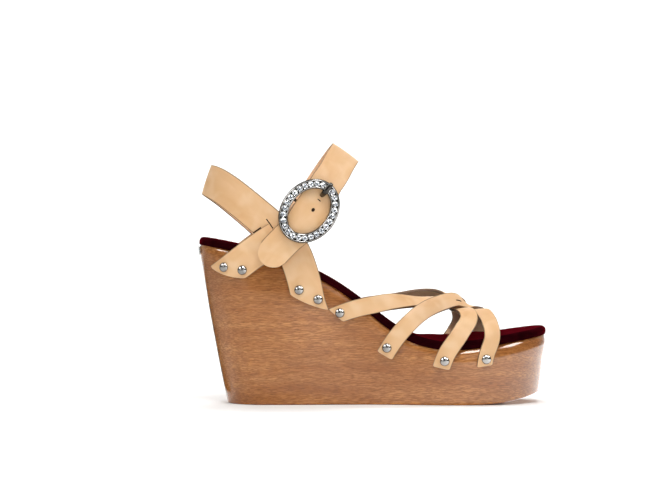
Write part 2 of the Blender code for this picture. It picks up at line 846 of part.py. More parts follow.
def make_stones(parts, finishes):
    """Faceted stones in the frame's channel, evenly spaced along it."""
    turns = np.linspace(0.0, 2 * math.pi, 721)
    line = np.array([frame_point(turn, BUCKLE_BAND / 2) for turn in turns])
    lengths = np.concatenate([[0.0], np.cumsum(np.linalg.norm(np.diff(line, axis=0), axis=1))])
    levels = (
        (STONE_BASE_RADIUS, 0.0),
        (STONE_GIRDLE_RADIUS, STONE_GIRDLE_HEIGHT),
        (STONE_TABLE_RADIUS, STONE_HEIGHT),
    )
    for i in range(STONE_COUNT):
        share = STONE_OPEN_SHARE + (1 - 2 * STONE_OPEN_SHARE) * i / (STONE_COUNT - 1)
        turn = np.interp(share * lengths[-1], lengths, turns)
        along, across = frame_point(turn, BUCKLE_BAND / 2)
        rings = []
        for radius, height in levels:
            ring = []
            for side in range(STONE_SIDES):
                facet = turn + 2 * math.pi * (side + 0.5) / STONE_SIDES
                place = along + radius * math.cos(facet), across + radius * math.sin(facet)
                ring.append(buckle_point(*place, BUCKLE_BACK_Y - STONE_SEAT - height))
            rings.append(ring)
        name = f"stone_{i + 1:02d}"
        add_object(name, loft(name, rings), parts, finishes["crystal"])


def stud_x(x, z, side, shift):
    """A stud's x on either side: the inner toe straps, and so their studs, lie further forward."""
    if side == OUTER:
        return x
    return x + shift * INNER_FORWARD * min(abs(wood_side(x, z, INNER)) / INNER_HALF_WIDTH, 1.0)


def stud_frame(x, z, side, outward):
    """A matrix whose z axis points out of the wedge's side, at a distance from the wood."""
    normal = wood_normal(x, z, side)
    place = np.array([x, wood_side(x, z, side), z]) + normal * outward
    turn = Vector(normal).to_track_quat("Z", "Y").to_matrix().to_4x4()
    return Matrix.Translation(Vector(place) * MM) @ turn


def make_nail_cutter(helpers):
    """One helper that holds every nail hole."""
    bm = bmesh.new()
    depth = STUD_SHANK_LENGTH + 2 * GAP
    for _, x, z, shift in STUDS:
        for side in (OUTER, INNER):
            place = stud_x(x, z, side, shift)
            outward = SEAT_GAP + GAP + LEATHER + 1.0 - depth / 2
            bmesh.ops.create_cone(
                bm,
                cap_ends=True,
                segments=STUD_HOLE_SIDES,
                radius1=STUD_HOLE_RADIUS * MM,
                radius2=STUD_HOLE_RADIUS * MM,
                depth=(depth + 2.0) * MM,
                matrix=stud_frame(place, z, side, outward),
            )
    return add_object("nail_holes", mesh_from(bm, "nail_holes"), helpers)


def make_studs(parts, finishes):
    profile = [(0.0, STUD_HEIGHT)]
    for i in range(1, STUD_DOME_STEPS + 1):
        angle = math.pi / 2 * i / STUD_DOME_STEPS
        profile.append((STUD_RADIUS * math.sin(angle), STUD_HEIGHT * math.cos(angle)))
    profile += [(STUD_SHANK_RADIUS, 0.0), (STUD_SHANK_RADIUS, -STUD_SHANK_LENGTH), (0.0, -STUD_SHANK_LENGTH)]
    mesh = bpy.data.meshes.new("stud")
    edges = [(i, i + 1) for i in range(len(profile) - 1)]
    mesh.from_pydata([(radius * MM, 0.0, height * MM) for radius, height in profile], edges, [])
    mesh.materials.append(finishes["nickel"])
    for label, x, z, shift in STUDS:
        for side, foot_side in ((OUTER, "outer"), (INNER, "inner")):
            stud = bpy.data.objects.new(f"stud_{label}_{foot_side}", mesh)
            parts.objects.link(stud)
            place = stud_x(x, z, side, shift)
            stud.matrix_world = stud_frame(place, z, side, SEAT_GAP + GAP + LEATHER)
            screw = stud.modifiers.new("turned", "SCREW")
            screw.steps = STUD_TURNS
            screw.render_steps = STUD_TURNS
            screw.use_merge_vertices = True
            screw.merge_threshold = 1e-6


def make_heel_plate(parts, finishes):
    """A thin plate bent round the back of the heel, just under the insole."""

    def surface(share, across):
        z = PLATE_LOW + (PLATE_HIGH - PLATE_LOW) * share
        y = across * PLATE_HALF_WIDTH
        rise = z / footbed(HEEL_X)
        back = HEEL_X + floor_shift(0.0) * (1 - rise**BACK_CURVE)
        bend = HEEL_ROUND * (1 - math.sqrt(1 - (y / plan_half(0.0)) ** 2))
        return np.array([back + bend - SEAT_GAP - PLATE_THICKNESS / 2, y, z])

    plate = add_object("heel_plate", sheet("heel_plate", surface, 2, 8), parts, finishes["nickel"])
    thicken(plate, PLATE_THICKNESS)


def main():
    for old in list(bpy.data.objects):
        bpy.data.objects.remove(old)
    parts = collection("strappy_wedge_sandal")
    helpers = collection("cutters_and_joined_straps")
    finishes = make_finishes()
    nails = make_nail_cutter(helpers)
    make_wedge(parts, finishes, nails)
    make_insole(parts, finishes)
    make_toe_straps(parts, helpers, finishes, nails)
    make_ankle_straps(parts, helpers, finishes, nails)
    make_buckle(parts, helpers, finishes)
    make_stones(parts, finishes)
    make_studs(parts, finishes)
    make_heel_plate(parts, finishes)


main()
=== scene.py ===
"""Strappy wedge sandal: the looks of its wooden wedge, velvet insole, leather straps and jewelled buckle.

The toe points along +X, the outer side of the foot is -Y and the floor is z = 0.
Tables and sizes in the code are in millimetres and become metres when a mesh is made.
"""

import math

import bmesh
import bpy
import numpy as np
from bpy.props import FloatProperty, FloatVectorProperty, IntProperty, PointerProperty
from mathutils import Matrix, Vector


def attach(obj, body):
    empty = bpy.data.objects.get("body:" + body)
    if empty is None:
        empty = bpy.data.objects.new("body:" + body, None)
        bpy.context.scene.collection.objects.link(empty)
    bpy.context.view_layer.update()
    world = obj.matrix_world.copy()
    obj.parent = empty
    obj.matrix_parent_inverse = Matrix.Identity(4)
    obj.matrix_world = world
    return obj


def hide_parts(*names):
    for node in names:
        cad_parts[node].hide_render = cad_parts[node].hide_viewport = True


bl_info = {
    "name": "Strappy Wedge Sandal",
    "version": (1, 0, 0),
    "blender": (4, 5, 0),
    "location": "View3D > Sidebar > Sandal",
    "description": "Dresses the packed sandal with wood, velvet, leather and a jewelled buckle",
    "category": "Object",
}

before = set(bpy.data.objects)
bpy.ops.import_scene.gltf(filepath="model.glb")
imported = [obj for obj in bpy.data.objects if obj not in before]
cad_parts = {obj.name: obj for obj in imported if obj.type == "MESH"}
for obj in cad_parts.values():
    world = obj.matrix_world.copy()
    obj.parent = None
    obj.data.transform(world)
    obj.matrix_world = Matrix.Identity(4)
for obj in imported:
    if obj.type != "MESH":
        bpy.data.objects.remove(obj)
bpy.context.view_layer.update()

# Metres in a millimetre, samples of a curve for each of its rows and for a whole strap, and gaps
MM = 0.001
SAMPLES_PER_ROW = 24
STRAP_SAMPLES = 240
GAP = 0.3
SEAT_GAP = 0.5

# The sides of the foot, as signs of y
OUTER, INNER = -1, 1

# Wedge: one block of wood under the whole foot
SOLE_LENGTH = 234.1
HEEL_X = -117.4
HEEL_UNDERCUT = 18.8
TOE_UNDERCUT = 4.0
BACK_CURVE = 1.2
SIDE_TAPER = 1.6
TOE_SPRING = 9.0
TOE_SPRING_FROM = 58.0
HEEL_ROUND = 31.0
TOE_ROUND = 52.0
TOE_SQUARENESS = 2.5
SOLE_STATIONS = 120
END_SHARES = (0.00003, 0.0001, 0.0003)
END_INSET_SHARE = 0.25

# Rounds of the search for a place on the wedge's side, and the shares of the length that it keeps between
SIDE_ROUNDS = 12
SIDE_SHARES = (0.002, 0.998)

# Share of the length from the heel, the middle line's y, half the width before the ends are rounded
SOLE_PLAN = (
    (0.00, 0.0, 30.0),
    (0.13, -0.2, 31.2),
    (0.28, -1.1, 30.6),
    (0.42, -2.0, 29.6),
    (0.55, -2.3, 33.2),
    (0.68, -2.4, 40.4),
    (0.80, -1.6, 42.2),
    (0.92, 1.5, 40.0),
    (1.00, 5.0, 34.0),
)

# x and z of the wood under the foot, from the heel to the toe
FOOTBED_LINE = (
    (-116.3, 106.4),
    (-95.0, 102.0),
    (-65.0, 93.2),
    (-35.0, 80.6),
    (-10.0, 63.6),
    (10.0, 48.4),
    (30.0, 39.4),
    (52.0, 37.0),
    (80.0, 40.4),
    (116.7, 46.5),
)

# Share of the height, millimetres added to it and inset from the outline, up one side of the wood
WOOD_EDGE = (
    (0.00, 0.0, 1.6),
    (0.00, 0.2, 0.7),
    (0.00, 0.6, 0.2),
    (0.00, 1.4, 0.0),
    (0.10, 0.0, 0.0),
    (0.20, 0.0, 0.0),
    (0.30, 0.0, 0.0),
    (0.60, 0.0, 0.0),
    (1.00, -9.0, 0.0),
    (1.00, -6.5, 0.12),
    (1.00, -4.6, 0.4),
    (1.00, -3.2, 0.8),
    (1.00, -2.1, 1.3),
    (1.00, -1.2, 1.9),
    (1.00, -0.5, 2.7),
    (1.00, -0.1, 3.6),
    (1.00, 0.0, 4.4),
)

# Heights in metres over which the wood is painted darker towards the top, as painted shade under the insole
# and straps
WOOD_SHADE_HEIGHTS = (0.055, 0.095)

# Share of the length and size of the rounded top edge there
EDGE_SIZES = ((0.0, 0.6), (0.3, 0.6), (0.48, 0.5), (0.6, 0.5), (0.67, 0.5), (0.72, 1.1), (1.0, 1.0))

# Insole: a padded sheet with a full round edge, a little crowned, and thicker on the inner side of the ball
INSOLE_THICKNESS = 5.0
INSOLE_SET_IN = 1.1
INSOLE_OVERHANG = 0.8
INSOLE_TOES_FROM = (0.665, 0.715)
INSOLE_END_SET_IN = -0.7
INSOLE_FOOT = 0.35
INSOLE_SINK = 0.4
INSOLE_BALL_PAD = 2.2
INSOLE_PAD_RISE = (0.61, 0.08)
INSOLE_PAD_FALL = (0.87, 0.07)
INSOLE_EDGE_STEPS = 12
INSOLE_CROWN = 0.7
INSOLE_CROWN_STEPS = 12

# Share of the length and how far the wood's top rises into the insole along the arch
ARCH_LIFT = ((0.0, 0.0), (0.22, 0.0), (0.32, 1.2), (0.46, 0.8), (0.6, 0.0), (1.0, 0.0))

# Leather straps
LEATHER = 2.0
HEEL_STRAP_WIDTH = 22.0
ANKLE_WIDTH = 21.2
BUCKLE_END_WIDTH = 20.8
TOE_STRAP_WIDTH = 11.6
TOE_STRAP_END_WIDTH = 10.4

# The foot that the ankle straps lie on: its middle, and its reach along the foot and across it
ANKLE_MIDDLE = (-46.8, 0.0, 129.3)
ANKLE_REACH = 66.0
ANKLE_HALF_WIDTH = 36.0
ANKLE_LIFT_FROM = 96.0
ANKLE_LIFT_OVER = 36.0

# The foot that the toe straps lie on: a ridge, half as wide as this at the ball and at the toes
TOE_STRAP_RISE = 24.0
RIDGE_BALL_X = 62.0
RIDGE_TOES_X = 72.0
RIDGE_CROSSING = (6.5, 40.0)
RIDGE_REAR = (30.0, 30.0)
RIDGE_ARCH = (42.0, 42.0)

# The foot's inner side is longer, so the toe straps lie further forward there
INNER_FORWARD = 6.0
INNER_HALF_WIDTH = 40.0
ABOVE_SOLE = 8.0
BALL_FURTHER = (0.0, 1.5, 4.0, 5.0, 5.0, 3.5, 1.5, 0.0)
TOES_FURTHER = (-0.4, -1.6, -2.6, -3.4, -1.6, 0.0, 0.0)
REAR_FURTHER = (1.0, 4.5, 6.2, 6.2, 5.0, 3.0, 1.0, 0.0)
ARCH_FURTHER = (0.0, 0.5, 1.5, 0.5, -1.0, -1.2, 0.6, 0.0)

# Rows of x, y and z along the middle of each strap: the heel strap, from the arch to the back of the heel
HEEL_STRAP_HALF = (
    (-42.5, -33.0, 58.5),
    (-45.3, -33.0, 66.5),
    (-48.0, -33.5, 78.5),
    (-51.5, -34.5, 91.0),
    (-56.5, -35.4, 102.6),
    (-64.5, -35.4, 112.3),
    (-74.2, -34.0, 121.2),
    (-84.5, -30.8, 130.0),
    (-97.0, -24.0, 140.2),
    (-107.2, -13.0, 147.2),
    (-112.3, 0.0, 149.7),
)

# The part of the ankle strap and of the buckle strap that lies on the wood and rises to the heel strap
REAR_LEG = (
    (-107.2, -23.0, 81.7),
    (-98.3, -27.0, 88.4),
    (-85.0, -32.8, 98.6),
    (-76.0, -37.0, 105.0),
)

# The ankle strap goes on through the heel strap, over the instep and through the buckle
ANKLE_STRAP_INNER = (
    (-69.5, 37.3, 109.3),
    (-63.5, 35.0, 113.0),
    (-57.5, 33.0, 117.3),
    (-51.0, 33.2, 122.8),
    (-43.0, 33.6, 132.5),
    (-35.5, 31.5, 144.8),
    (-27.5, 22.5, 157.0),
    (-21.5, 10.5, 165.6),
)
ANKLE_STRAP_FRONT = ((-19.5, 0.0, 168.0),)
ANKLE_STRAP_TAIL = (
    (-21.0, -11.0, 166.2),
    (-25.3, -23.0, 160.0),
    (-30.3, -33.0, 151.8),
    (-35.4, -38.6, 144.6),
    (-39.6, -40.4, 135.8),
    (-44.8, -41.4, 126.6),
    (-51.3, -40.8, 118.6),
    (-58.4, -40.4, 112.0),
    (-64.9, -40.1, 105.6),
    (-69.8, -39.9, 100.2),
    (-75.2, -39.7, 92.8),
)

# The buckle strap goes on through the heel strap to the buckle's bar
BUCKLE_STRAP_LEG = REAR_LEG + ((-69.5, -36.7, 109.3), (-63.5, -33.2, 113.0), (-57.5, -32.4, 117.0))

# Toe straps. The long ones cross over the foot from the ball on one side to the toes on the other
TOE_CROSS_BALL = (
    (4.5, 37.0, 32.8),
    (9.5, 38.5, 41.0),
    (18.9, 37.5, 52.7),
    (30.5, 30.0, 61.8),
    (39.2, 22.5, 65.8),
    (47.8, 15.5, 68.3),
    (55.5, 9.0, 68.9),
    (61.0, 4.5, 66.4),
)
TOE_CROSS_TOES = (
    (70.6, 8.0, 62.0),
    (73.4, 17.5, 59.4),
    (74.8, 29.0, 55.0),
    (75.0, 38.0, 49.6),
    (74.2, 42.5, 42.5),
    (71.7, 44.0, 35.6),
    (69.4, 44.0, 24.4),
)
TOE_CROSSING_UNDER = ((66.0, 0.0, 61.0),)
TOE_CROSSING_OVER = ((66.0, 0.0, 63.8),)
TOE_REAR_OUTER = (
    (-30.7, -32.0, 58.1),
    (-16.8, -32.6, 63.2),
    (-3.9, -33.5, 66.2),
    (8.7, -31.0, 68.3),
    (21.4, -24.0, 68.6),
    (34.0, -15.5, 68.6),
    (44.5, -9.2, 69.0),
    (52.2, -5.4, 68.6),
)
TOE_REAR_MIDDLE = ((54.5, 0.0, 68.4),)
TOE_REAR_INNER = (
    (52.2, 5.4, 69.8),
    (44.5, 9.6, 72.6),
    (34.0, 17.0, 73.4),
    (21.4, 24.5, 71.4),
    (8.7, 29.0, 68.0),
    (-3.9, 30.0, 65.6),
    (-16.8, 28.6, 62.8),
    (-28.3, 28.0, 59.0),
)
TOE_ARCH_HALF = (
    (40.9, -43.0, 24.2),
    (44.8, -44.0, 34.4),
    (49.4, -43.5, 41.5),
    (55.2, -39.5, 49.2),
    (60.6, -32.0, 56.0),
    (61.0, -23.0, 60.8),
    (58.6, -11.0, 62.8),
    (57.0, 0.0, 63.0),
)

# Length of a strap's end that lies on the wood, and the length over which it then leaves it
SEAT_FRONT_LEG = (34.0, 16.0)
SEAT_REAR_LEG = (26.0, 10.0)
SEAT_TOE_REAR = (26.0, 14.0)
SEAT_TOE = (20.0, 14.0)
NO_SEAT = (0.0, 0.0)
SEAT_LEAST_SIDE = 0.4

# How much longer a strap's end is along one edge than along the other
FRONT_LEG_CUT = 17.0
REAR_LEG_CUT = 16.2
REAR_LEG_BULGE = 2.3
TOE_REAR_CUT = 6.2
TOE_FRONT_CUT = -3.1
TOE_ARCH_CUT = 1.0
STRAP_CORNER = 0.9
CORNER_FROM = 0.7
CORNER_OVER = 0.3

# A stud: its shank's length and radius, its head's rim and underside, and the steps of its dome
STUD_SHANK = 4.0
STUD_SHANK_RADIUS = 0.9
STUD_RIM = 0.15
STUD_UNDERSIDE = -0.12
STUD_DOME_STEPS = 10

# Each stud's name, x and z on the outer side, and the share of the inner toe straps' shift that it follows
STUDS = (
    ("heel_back", -100.3, 91.4, 0.0),
    ("heel_front", -89.2, 89.4, 0.0),
    ("arch_back", -52.2, 76.2, 0.0),
    ("arch_front", -39.6, 69.9, 0.0),
    ("toe_rear", -25.1, 61.0, 1.0),
    ("toe_ball", 6.3, 38.0, 1.0),
    ("toe_arch", 43.6, 29.5, 1.0),
    ("toe_front", 70.5, 30.7, 1.0),
)

# Buckle: an oval frame in the plane of the ankle's outer side
BUCKLE_CENTRE = (-46.0, 128.2)
BUCKLE_TURN = math.radians(50.4)
BUCKLE_HALF_LENGTH = 22.3
BUCKLE_HALF_WIDTH = 17.9
BUCKLE_BAND = 5.5
BUCKLE_BACK_Y = -43.1
BUCKLE_SEGMENTS = 144
BAR_RADIUS = 1.0
BAR_Y = -36.8

# Distance from the frame's inner edge and height above its back, round the frame's section
BUCKLE_SECTION = (
    (0.1, 0.7),
    (5.4, 0.7),
    (5.5, 1.9),
    (5.42, 2.3),
    (5.2, 2.54),
    (4.95, 2.6),
    (4.75, 2.45),
    (4.68, 2.1),
    (4.68, 1.6),
    (0.82, 1.6),
    (0.82, 2.1),
    (0.75, 2.45),
    (0.55, 2.6),
    (0.3, 2.54),
    (0.08, 2.3),
    (0.0, 1.9),
)
# Section of a flange under the band and a little wider than it, in the same terms: its near black is painted
# shadow round the band
BUCKLE_BASE = (
    (0.3, 0.0),
    (5.2, 0.0),
    (5.9, 0.4),
    (5.9, 1.1),
    (5.3, 1.3),
    (0.2, 1.3),
    (-0.35, 1.1),
    (-0.35, 0.4),
)
# Section of the channel's floor between the stones, in the same terms: its near black is painted shade
BUCKLE_CHANNEL = ((0.8, 1.2), (4.7, 1.2), (4.7, 1.68), (0.8, 1.68))

# Half of the bar, from the frame to its middle: distance across the buckle and y
BAR_HALF = (
    (15.4, -44.4),
    (15.3, -42.5),
    (14.9, -39.5),
    (13.8, -37.4),
    (11.5, -36.8),
    (4.0, -36.8),
)

# The prong, from the bar to its tip: distance along the buckle, y, and half its width and thickness
PRONG_LINE = (
    (2.1, -37.1, 0.8, 0.8),
    (7.0, -37.5, 0.8, 0.8),
    (11.0, -38.5, 0.9, 0.7),
    (13.1, -41.0, 1.5, 0.8),
    (14.5, -44.5, 1.75, 0.9),
    (16.0, -46.8, 1.8, 1.0),
    (19.5, -47.3, 1.8, 1.0),
    (22.2, -47.0, 1.6, 0.9),
    (23.2, -46.4, 1.2, 0.5),
)

# The bar and the prong as wires: rings along each, sides of a ring, and the reach that gives its direction
WIRE_STEPS = 64
WIRE_SIDES = 20
WIRE_REACH = 0.1

# Where less than this of the direction across the buckle is left beside a wire, y takes its place
WIRE_LEAST_ACROSS = 0.3

# Holes in the ankle strap's tail: distance along and across the buckle, half sizes, and the y of the bottom
TAIL_HOLES = (
    (14.2, -0.2, 2.1, 1.2, -38.0),
    (9.8, -0.6, 0.4, 1.4, -40.7),
    (2.3, -1.6, 1.35, 1.15, -40.9),
)
PRONG_SLOT = (-6.5, 6.0, 2.1)

# Slits where straps dip through each other, and a groove under the buckle strap's upper edge whose dark walls
# are painted shadow: from where to where along, half the width, and the place across
TOE_SLIT = ((0.455, 0.488), 0.09, 0.2)
LEG_SLIT = ((52.9, 53.5), 0.36, -0.97)
LEG_EDGE_SHADOW_GROOVE = ((39.0, 47.5), 0.045, -1.07)
SLIT_CELLS = (12, 1)

# How far a slit's cutter reaches into the leather and out of it
SLIT_DEPTH = (1.1, 2.5)
EDGE_SHADOW_GROOVE_DEPTH = (3.7, 2.0)

# The tail is wider in the buckle, and the heel strap narrower at its back: over how far, and by how much
TAIL_SWELL = (13.0, 4.0)
HEEL_BACK_SWELL = (9.0, -1.6)

# Cells along and across each strap's mesh, and its slight waves: their lengths and how far they slant
TOE_CELLS = (110, 14)
HEEL_CELLS = (130, 12)
ANKLE_CELLS = (170, 12)
BUCKLE_CELLS = (110, 10)
SHORT_WAVE = 7.3
LONG_WAVE = 17.0
WAVE_SLANT = 1.7

# The buckle strap's loop round the bar: distance along the buckle and y, to its sewn end
BAR_LOOP = (
    (-7.6, -33.9),
    (-3.4, -34.45),
    (0.0, -34.5),
    (1.63, -35.17),
    (2.3, -36.8),
    (1.63, -38.43),
    (0.0, -39.1),
    (-4.5, -38.3),
    (-9.0, -36.5),
)
LOOP_CELL_SHARE = 0.45

# Stones: the row is open where the prong rests
STONE_COUNT = 26
STONE_OPEN_SHARE = 0.035
STONE_SEAT = 1.6
STONE_LINE_STEPS = 720

# A cut stone, from its table down: points on a level, their turn in steps, share of the radius, and height
STONE_LEVELS = (
    (8, 0.0, 0.56, 1.3),
    (8, 0.5, 0.8, 1.06),
    (16, 0.25, 1.0, 0.6),
    (16, 0.25, 1.0, 0.45),
    (8, 0.0, 0.6, 0.0),
)

# The ring round a stone: distance past its radius, and height
SETTING_PROFILE = ((0.22, 0.0), (0.2, 0.75), (0.06, 0.92), (-0.12, 0.85), (-0.2, 0.6), (-0.2, 0.0))
SETTING_SIDES = 20

# Plain metal plate on the back of the heel
PLATE_HALF_WIDTH = 7.0
PLATE_LOW = 99.6
PLATE_HIGH = 105.4
PLATE_THICKNESS = 1.3
PLATE_EDGE = 0.3
PLATE_CELLS = (8, 24)

# Stage, in metres: the paper's near edge, bend, top and half its width
PAPER_NEAR = -3.0
PAPER_BEND_FROM = 1.2
PAPER_BEND = 0.8
PAPER_BEND_STEPS = 24
PAPER_TOP = 3.0
PAPER_HALF_WIDTH = 4.0

# Cards that are seen only as reflections: name, finish, the range of x and of y, and the height
CARDS = (
    ("dark_card", "dark card", (-1.3, -0.118), (-0.02, 1.3), 0.002),
    ("bright_card", "bright card", (-0.1, 2.5), (-2.5, 1.5), 0.002),
    ("top_card", "lit panel", (-0.1, 0.3), (-1.25, -0.05), 1.3),
    ("toe_card", "lit panel", (0.8, 1.9), (-1.1, 0.0), 1.3),
    ("heel_card", "lit panel", (-2.3, -0.95), (-0.9, -0.25), 1.3),
)
BRIGHT_CARD_FADE = (-0.07, 0.16)
BRIGHT_CARD_GLOW = 2.6
PANEL_GLOW = 17.0

# Lamps: place, the point it faces, width, height, power and whether it shows in the lacquer
SOFT_BOXES = (
    ((0.06, -0.8, 1.3), (0.06, -0.8, 0.0), 0.6, 0.9, 14.0, False),
    ((-1.2, -1.3, 0.7), (0.0, 0.0, 0.1), 0.7, 0.8, 4.0, True),
    ((-0.2, -2.3, 0.35), (0.0, 0.0, 0.08), 1.0, 0.6, 7.0, False),
    ((0.6, -1.9, 0.75), (0.05, 0.0, 0.05), 1.0, 1.0, 3.5, True),
    ((0.0, 0.7, 1.7), (0.0, 1.8, 0.3), 1.2, 0.8, 36.0, False),
)
ROOM_LIGHT = 0.22

# The point in the middle of the picture, in millimetres, and the width of the camera's sensor
VIEW_CENTRE = (-26.3, 0.0, 102.6)
SENSOR_WIDTH = 36.0


def smooth_step(value):
    value = min(max(value, 0.0), 1.0)
    return value * value * (3 - 2 * value)


def natural_spline(knots, values):
    """A smooth curve through the values, as a function of the knot."""
    knots = np.asarray(knots, float)
    values = np.asarray(values, float)
    steps = np.diff(knots)
    last = len(knots) - 1
    system = np.eye(len(knots))
    bends = np.zeros(values.shape)
    for i in range(1, last):
        system[i, i - 1 : i + 2] = steps[i - 1], 2 * (steps[i - 1] + steps[i]), steps[i]
        rise, fall = values[i + 1] - values[i], values[i] - values[i - 1]
        bends[i] = 6 * (rise / steps[i] - fall / steps[i - 1])
    second = np.linalg.solve(system, bends)

    def at(knot):
        i = int(np.clip(np.searchsorted(knots, knot) - 1, 0, last - 1))
        before = (knots[i + 1] - knot) / steps[i]
        after = 1 - before
        bend = (before**3 - before) * second[i] + (after**3 - after) * second[i + 1]
        return before * values[i] + after * values[i + 1] + bend * steps[i] ** 2 / 6

    return at


def lengths_along(points):
    """The length along a line of points, up to each of them."""
    return np.concatenate([[0.0], np.cumsum(np.linalg.norm(np.diff(points, axis=0), axis=1))])


def through_rows(rows):
    """A smooth curve through rows of points, as a function of the length along it, and its length."""
    rows = np.asarray(rows, float)
    knots = lengths_along(rows)
    curve = natural_spline(knots, rows)
    fine = np.linspace(0.0, knots[-1], SAMPLES_PER_ROW * len(rows))
    points = np.array([curve(knot) for knot in fine])
    lengths = lengths_along(points)
    return lambda length: curve(np.interp(length, lengths, fine)), lengths[-1]


def unit(vector):
    return vector / np.linalg.norm(vector)


def across_foot(rows):
    """The same rows on the other side of the foot."""
    return tuple((x, -y, z) for x, y, z in rows)


def on_inner_side(rows, further):
    """Toe strap rows of the inner side, moved forward most beside the sole, and further row by row."""
    moved = []
    for (x, y, z), extra in zip(rows, further):
        beside = min(abs(y) / INNER_HALF_WIDTH, 1.0)
        over_foot = z > footbed(x) + ABOVE_SOLE
        moved.append((x + INNER_FORWARD * (beside**3 if over_foot else beside) + extra, y, z))
    return tuple(moved)


footbed = natural_spline(*zip(*FOOTBED_LINE))
plan_middle = natural_spline([row[0] for row in SOLE_PLAN], [row[1] for row in SOLE_PLAN])
plan_half = natural_spline([row[0] for row in SOLE_PLAN], [row[2] for row in SOLE_PLAN])


def end_rounding(share):
    """How much of its width the outline keeps near the heel and the toe, where it is elliptical."""
    heel = 1 - min(share * SOLE_LENGTH / HEEL_ROUND, 1.0)
    toe = 1 - min((1 - share) * SOLE_LENGTH / TOE_ROUND, 1.0)
    return math.sqrt(1 - heel**2) * (1 - toe**TOE_SQUARENESS) ** (1 / TOE_SQUARENESS)


def floor_shift(share):
    """How far the outline on the floor is set in from the outline under the foot."""
    return HEEL_UNDERCUT * (1 - share) ** 2 - TOE_UNDERCUT * share**8


def floor_height(x):
    """How far the underside is off the floor: it rises towards the toe."""
    beyond = max(x - TOE_SPRING_FROM, 0.0) / (HEEL_X + SOLE_LENGTH - TOE_SPRING_FROM)
    return TOE_SPRING * beyond**2


def sole_outline(share, side, inset, end_inset):
    """x and y of the outline under the foot, set in along its sides and at its ends."""
    half_length = SOLE_LENGTH / 2
    x = HEEL_X + half_length + (share - 0.5) * 2 * (half_length - end_inset)
    y = plan_middle(share) + side * (plan_half(share) - inset) * end_rounding(share)
    return x, y


def edge_size(share):
    """How large the wood's rounded top edge is at a share of the length."""
    return np.interp(share, *zip(*EDGE_SIZES))


def arch_lift(share):
    """How far the wood's top, and with it the insole's underside, is raised along the arch."""
    return np.interp(share, *zip(*ARCH_LIFT))


def ball_pad(share):
    """How much thicker the insole is on the inner side of the ball."""
    (start, rise), (end, fall) = INSOLE_PAD_RISE, INSOLE_PAD_FALL
    return INSOLE_BALL_PAD * smooth_step((share - start) / rise) * smooth_step((end - share) / fall)


def insole_outline(share, side, inset):
    """The insole's outline: it hangs over the wood from the heel to the ball, and is set in at the toes."""
    start, end = INSOLE_TOES_FROM
    toes = smooth_step((share - start) / (end - start))
    set_in = INSOLE_SET_IN * toes - INSOLE_OVERHANG * (1 - toes)
    return sole_outline(share, side, set_in + inset, INSOLE_END_SET_IN + inset)


def wood_point(share, side, rise, raised=0.0, inset=0.0):
    """A point on the side of the wedge, with rise 0 on the floor and 1 under the foot."""
    if rise == 1.0:
        raised, inset = raised * edge_size(share) + arch_lift(share), inset * edge_size(share)
    x_top, y = sole_outline(share, side, inset, inset * END_INSET_SHARE)
    shift = floor_shift(share)
    x = x_top + shift * (1 - rise) ** BACK_CURVE
    low, top = floor_height(x_top + shift), footbed(x_top)
    y -= side * SIDE_TAPER * (1 - rise) * end_rounding(share)
    return np.array([x, y, low + (top - low) * rise + raised])


def wood_side(x, z, side):
    """The y of the wedge's side at a place on it."""
    share = 0.5
    for _ in range(SIDE_ROUNDS):
        x_top = HEEL_X + share * SOLE_LENGTH
        low = floor_height(x_top + floor_shift(share))
        rise = min(max((z - low) / (footbed(x_top) - low), 0.0), 1.0)
        shift = floor_shift(share) * (1 - rise) ** BACK_CURVE
        share = min(max((x - HEEL_X - shift) / SOLE_LENGTH, SIDE_SHARES[0]), SIDE_SHARES[1])
    return wood_point(share, side, rise)[1]


def wood_normal(x, z, side):
    """The direction out of the wedge's side."""
    step = 1.0
    along = (wood_side(x + step, z, side) - wood_side(x - step, z, side)) / (2 * step)
    upward = (wood_side(x, z + step, side) - wood_side(x, z - step, side)) / (2 * step)
    return unit(np.array([-along, 1.0, -upward]) * side)


def footbed_normal(x):
    step = 1.0
    slope = (footbed(x + step) - footbed(x - step)) / (2 * step)
    return unit(np.array([-slope, 0.0, 1.0]))


def insole_top(x):
    return footbed(x) + (GAP + INSOLE_THICKNESS) / footbed_normal(x)[2]


def ankle_normal(point):
    """The direction out of the ankle: level beside the sole, and round the leg above it."""
    reach = point - np.array(ANKLE_MIDDLE)
    lift = smooth_step((point[2] - ANKLE_LIFT_FROM) / ANKLE_LIFT_OVER)
    level = reach[0] / ANKLE_REACH**2, reach[1] / ANKLE_HALF_WIDTH**2
    return np.array([*level, lift * reach[2] / ANKLE_REACH**2])


def toe_normal(ridge):
    """The direction out of the forefoot: level beside the sole, and up over a ridge along its top."""

    def normal_at(point):
        rise = (point[2] - insole_top(point[0])) / TOE_STRAP_RISE
        toward_toes = smooth_step((point[0] - RIDGE_BALL_X) / (RIDGE_TOES_X - RIDGE_BALL_X))
        half_width = ridge[0] + (ridge[1] - ridge[0]) * toward_toes
        return np.array([0.0, point[1] / half_width, min(max(rise, 0.0), 1.0)])

    return normal_at


def slanted(cut, bulge=0.0):
    """A strap's end that is longer along one edge: the length trimmed off at a place across the strap."""

    def trimmed(across):
        corner = STRAP_CORNER * (max(abs(across) - CORNER_FROM, 0.0) / CORNER_OVER) ** 2
        return abs(cut) / 2 + across * cut / 2 + bulge * across**2 + corner

    return trimmed


def rounded(width):
    return lambda across: width / 2 * (1 - math.sqrt(max(1 - across**2, 0.0)))


def square(_across):
    return 0.0


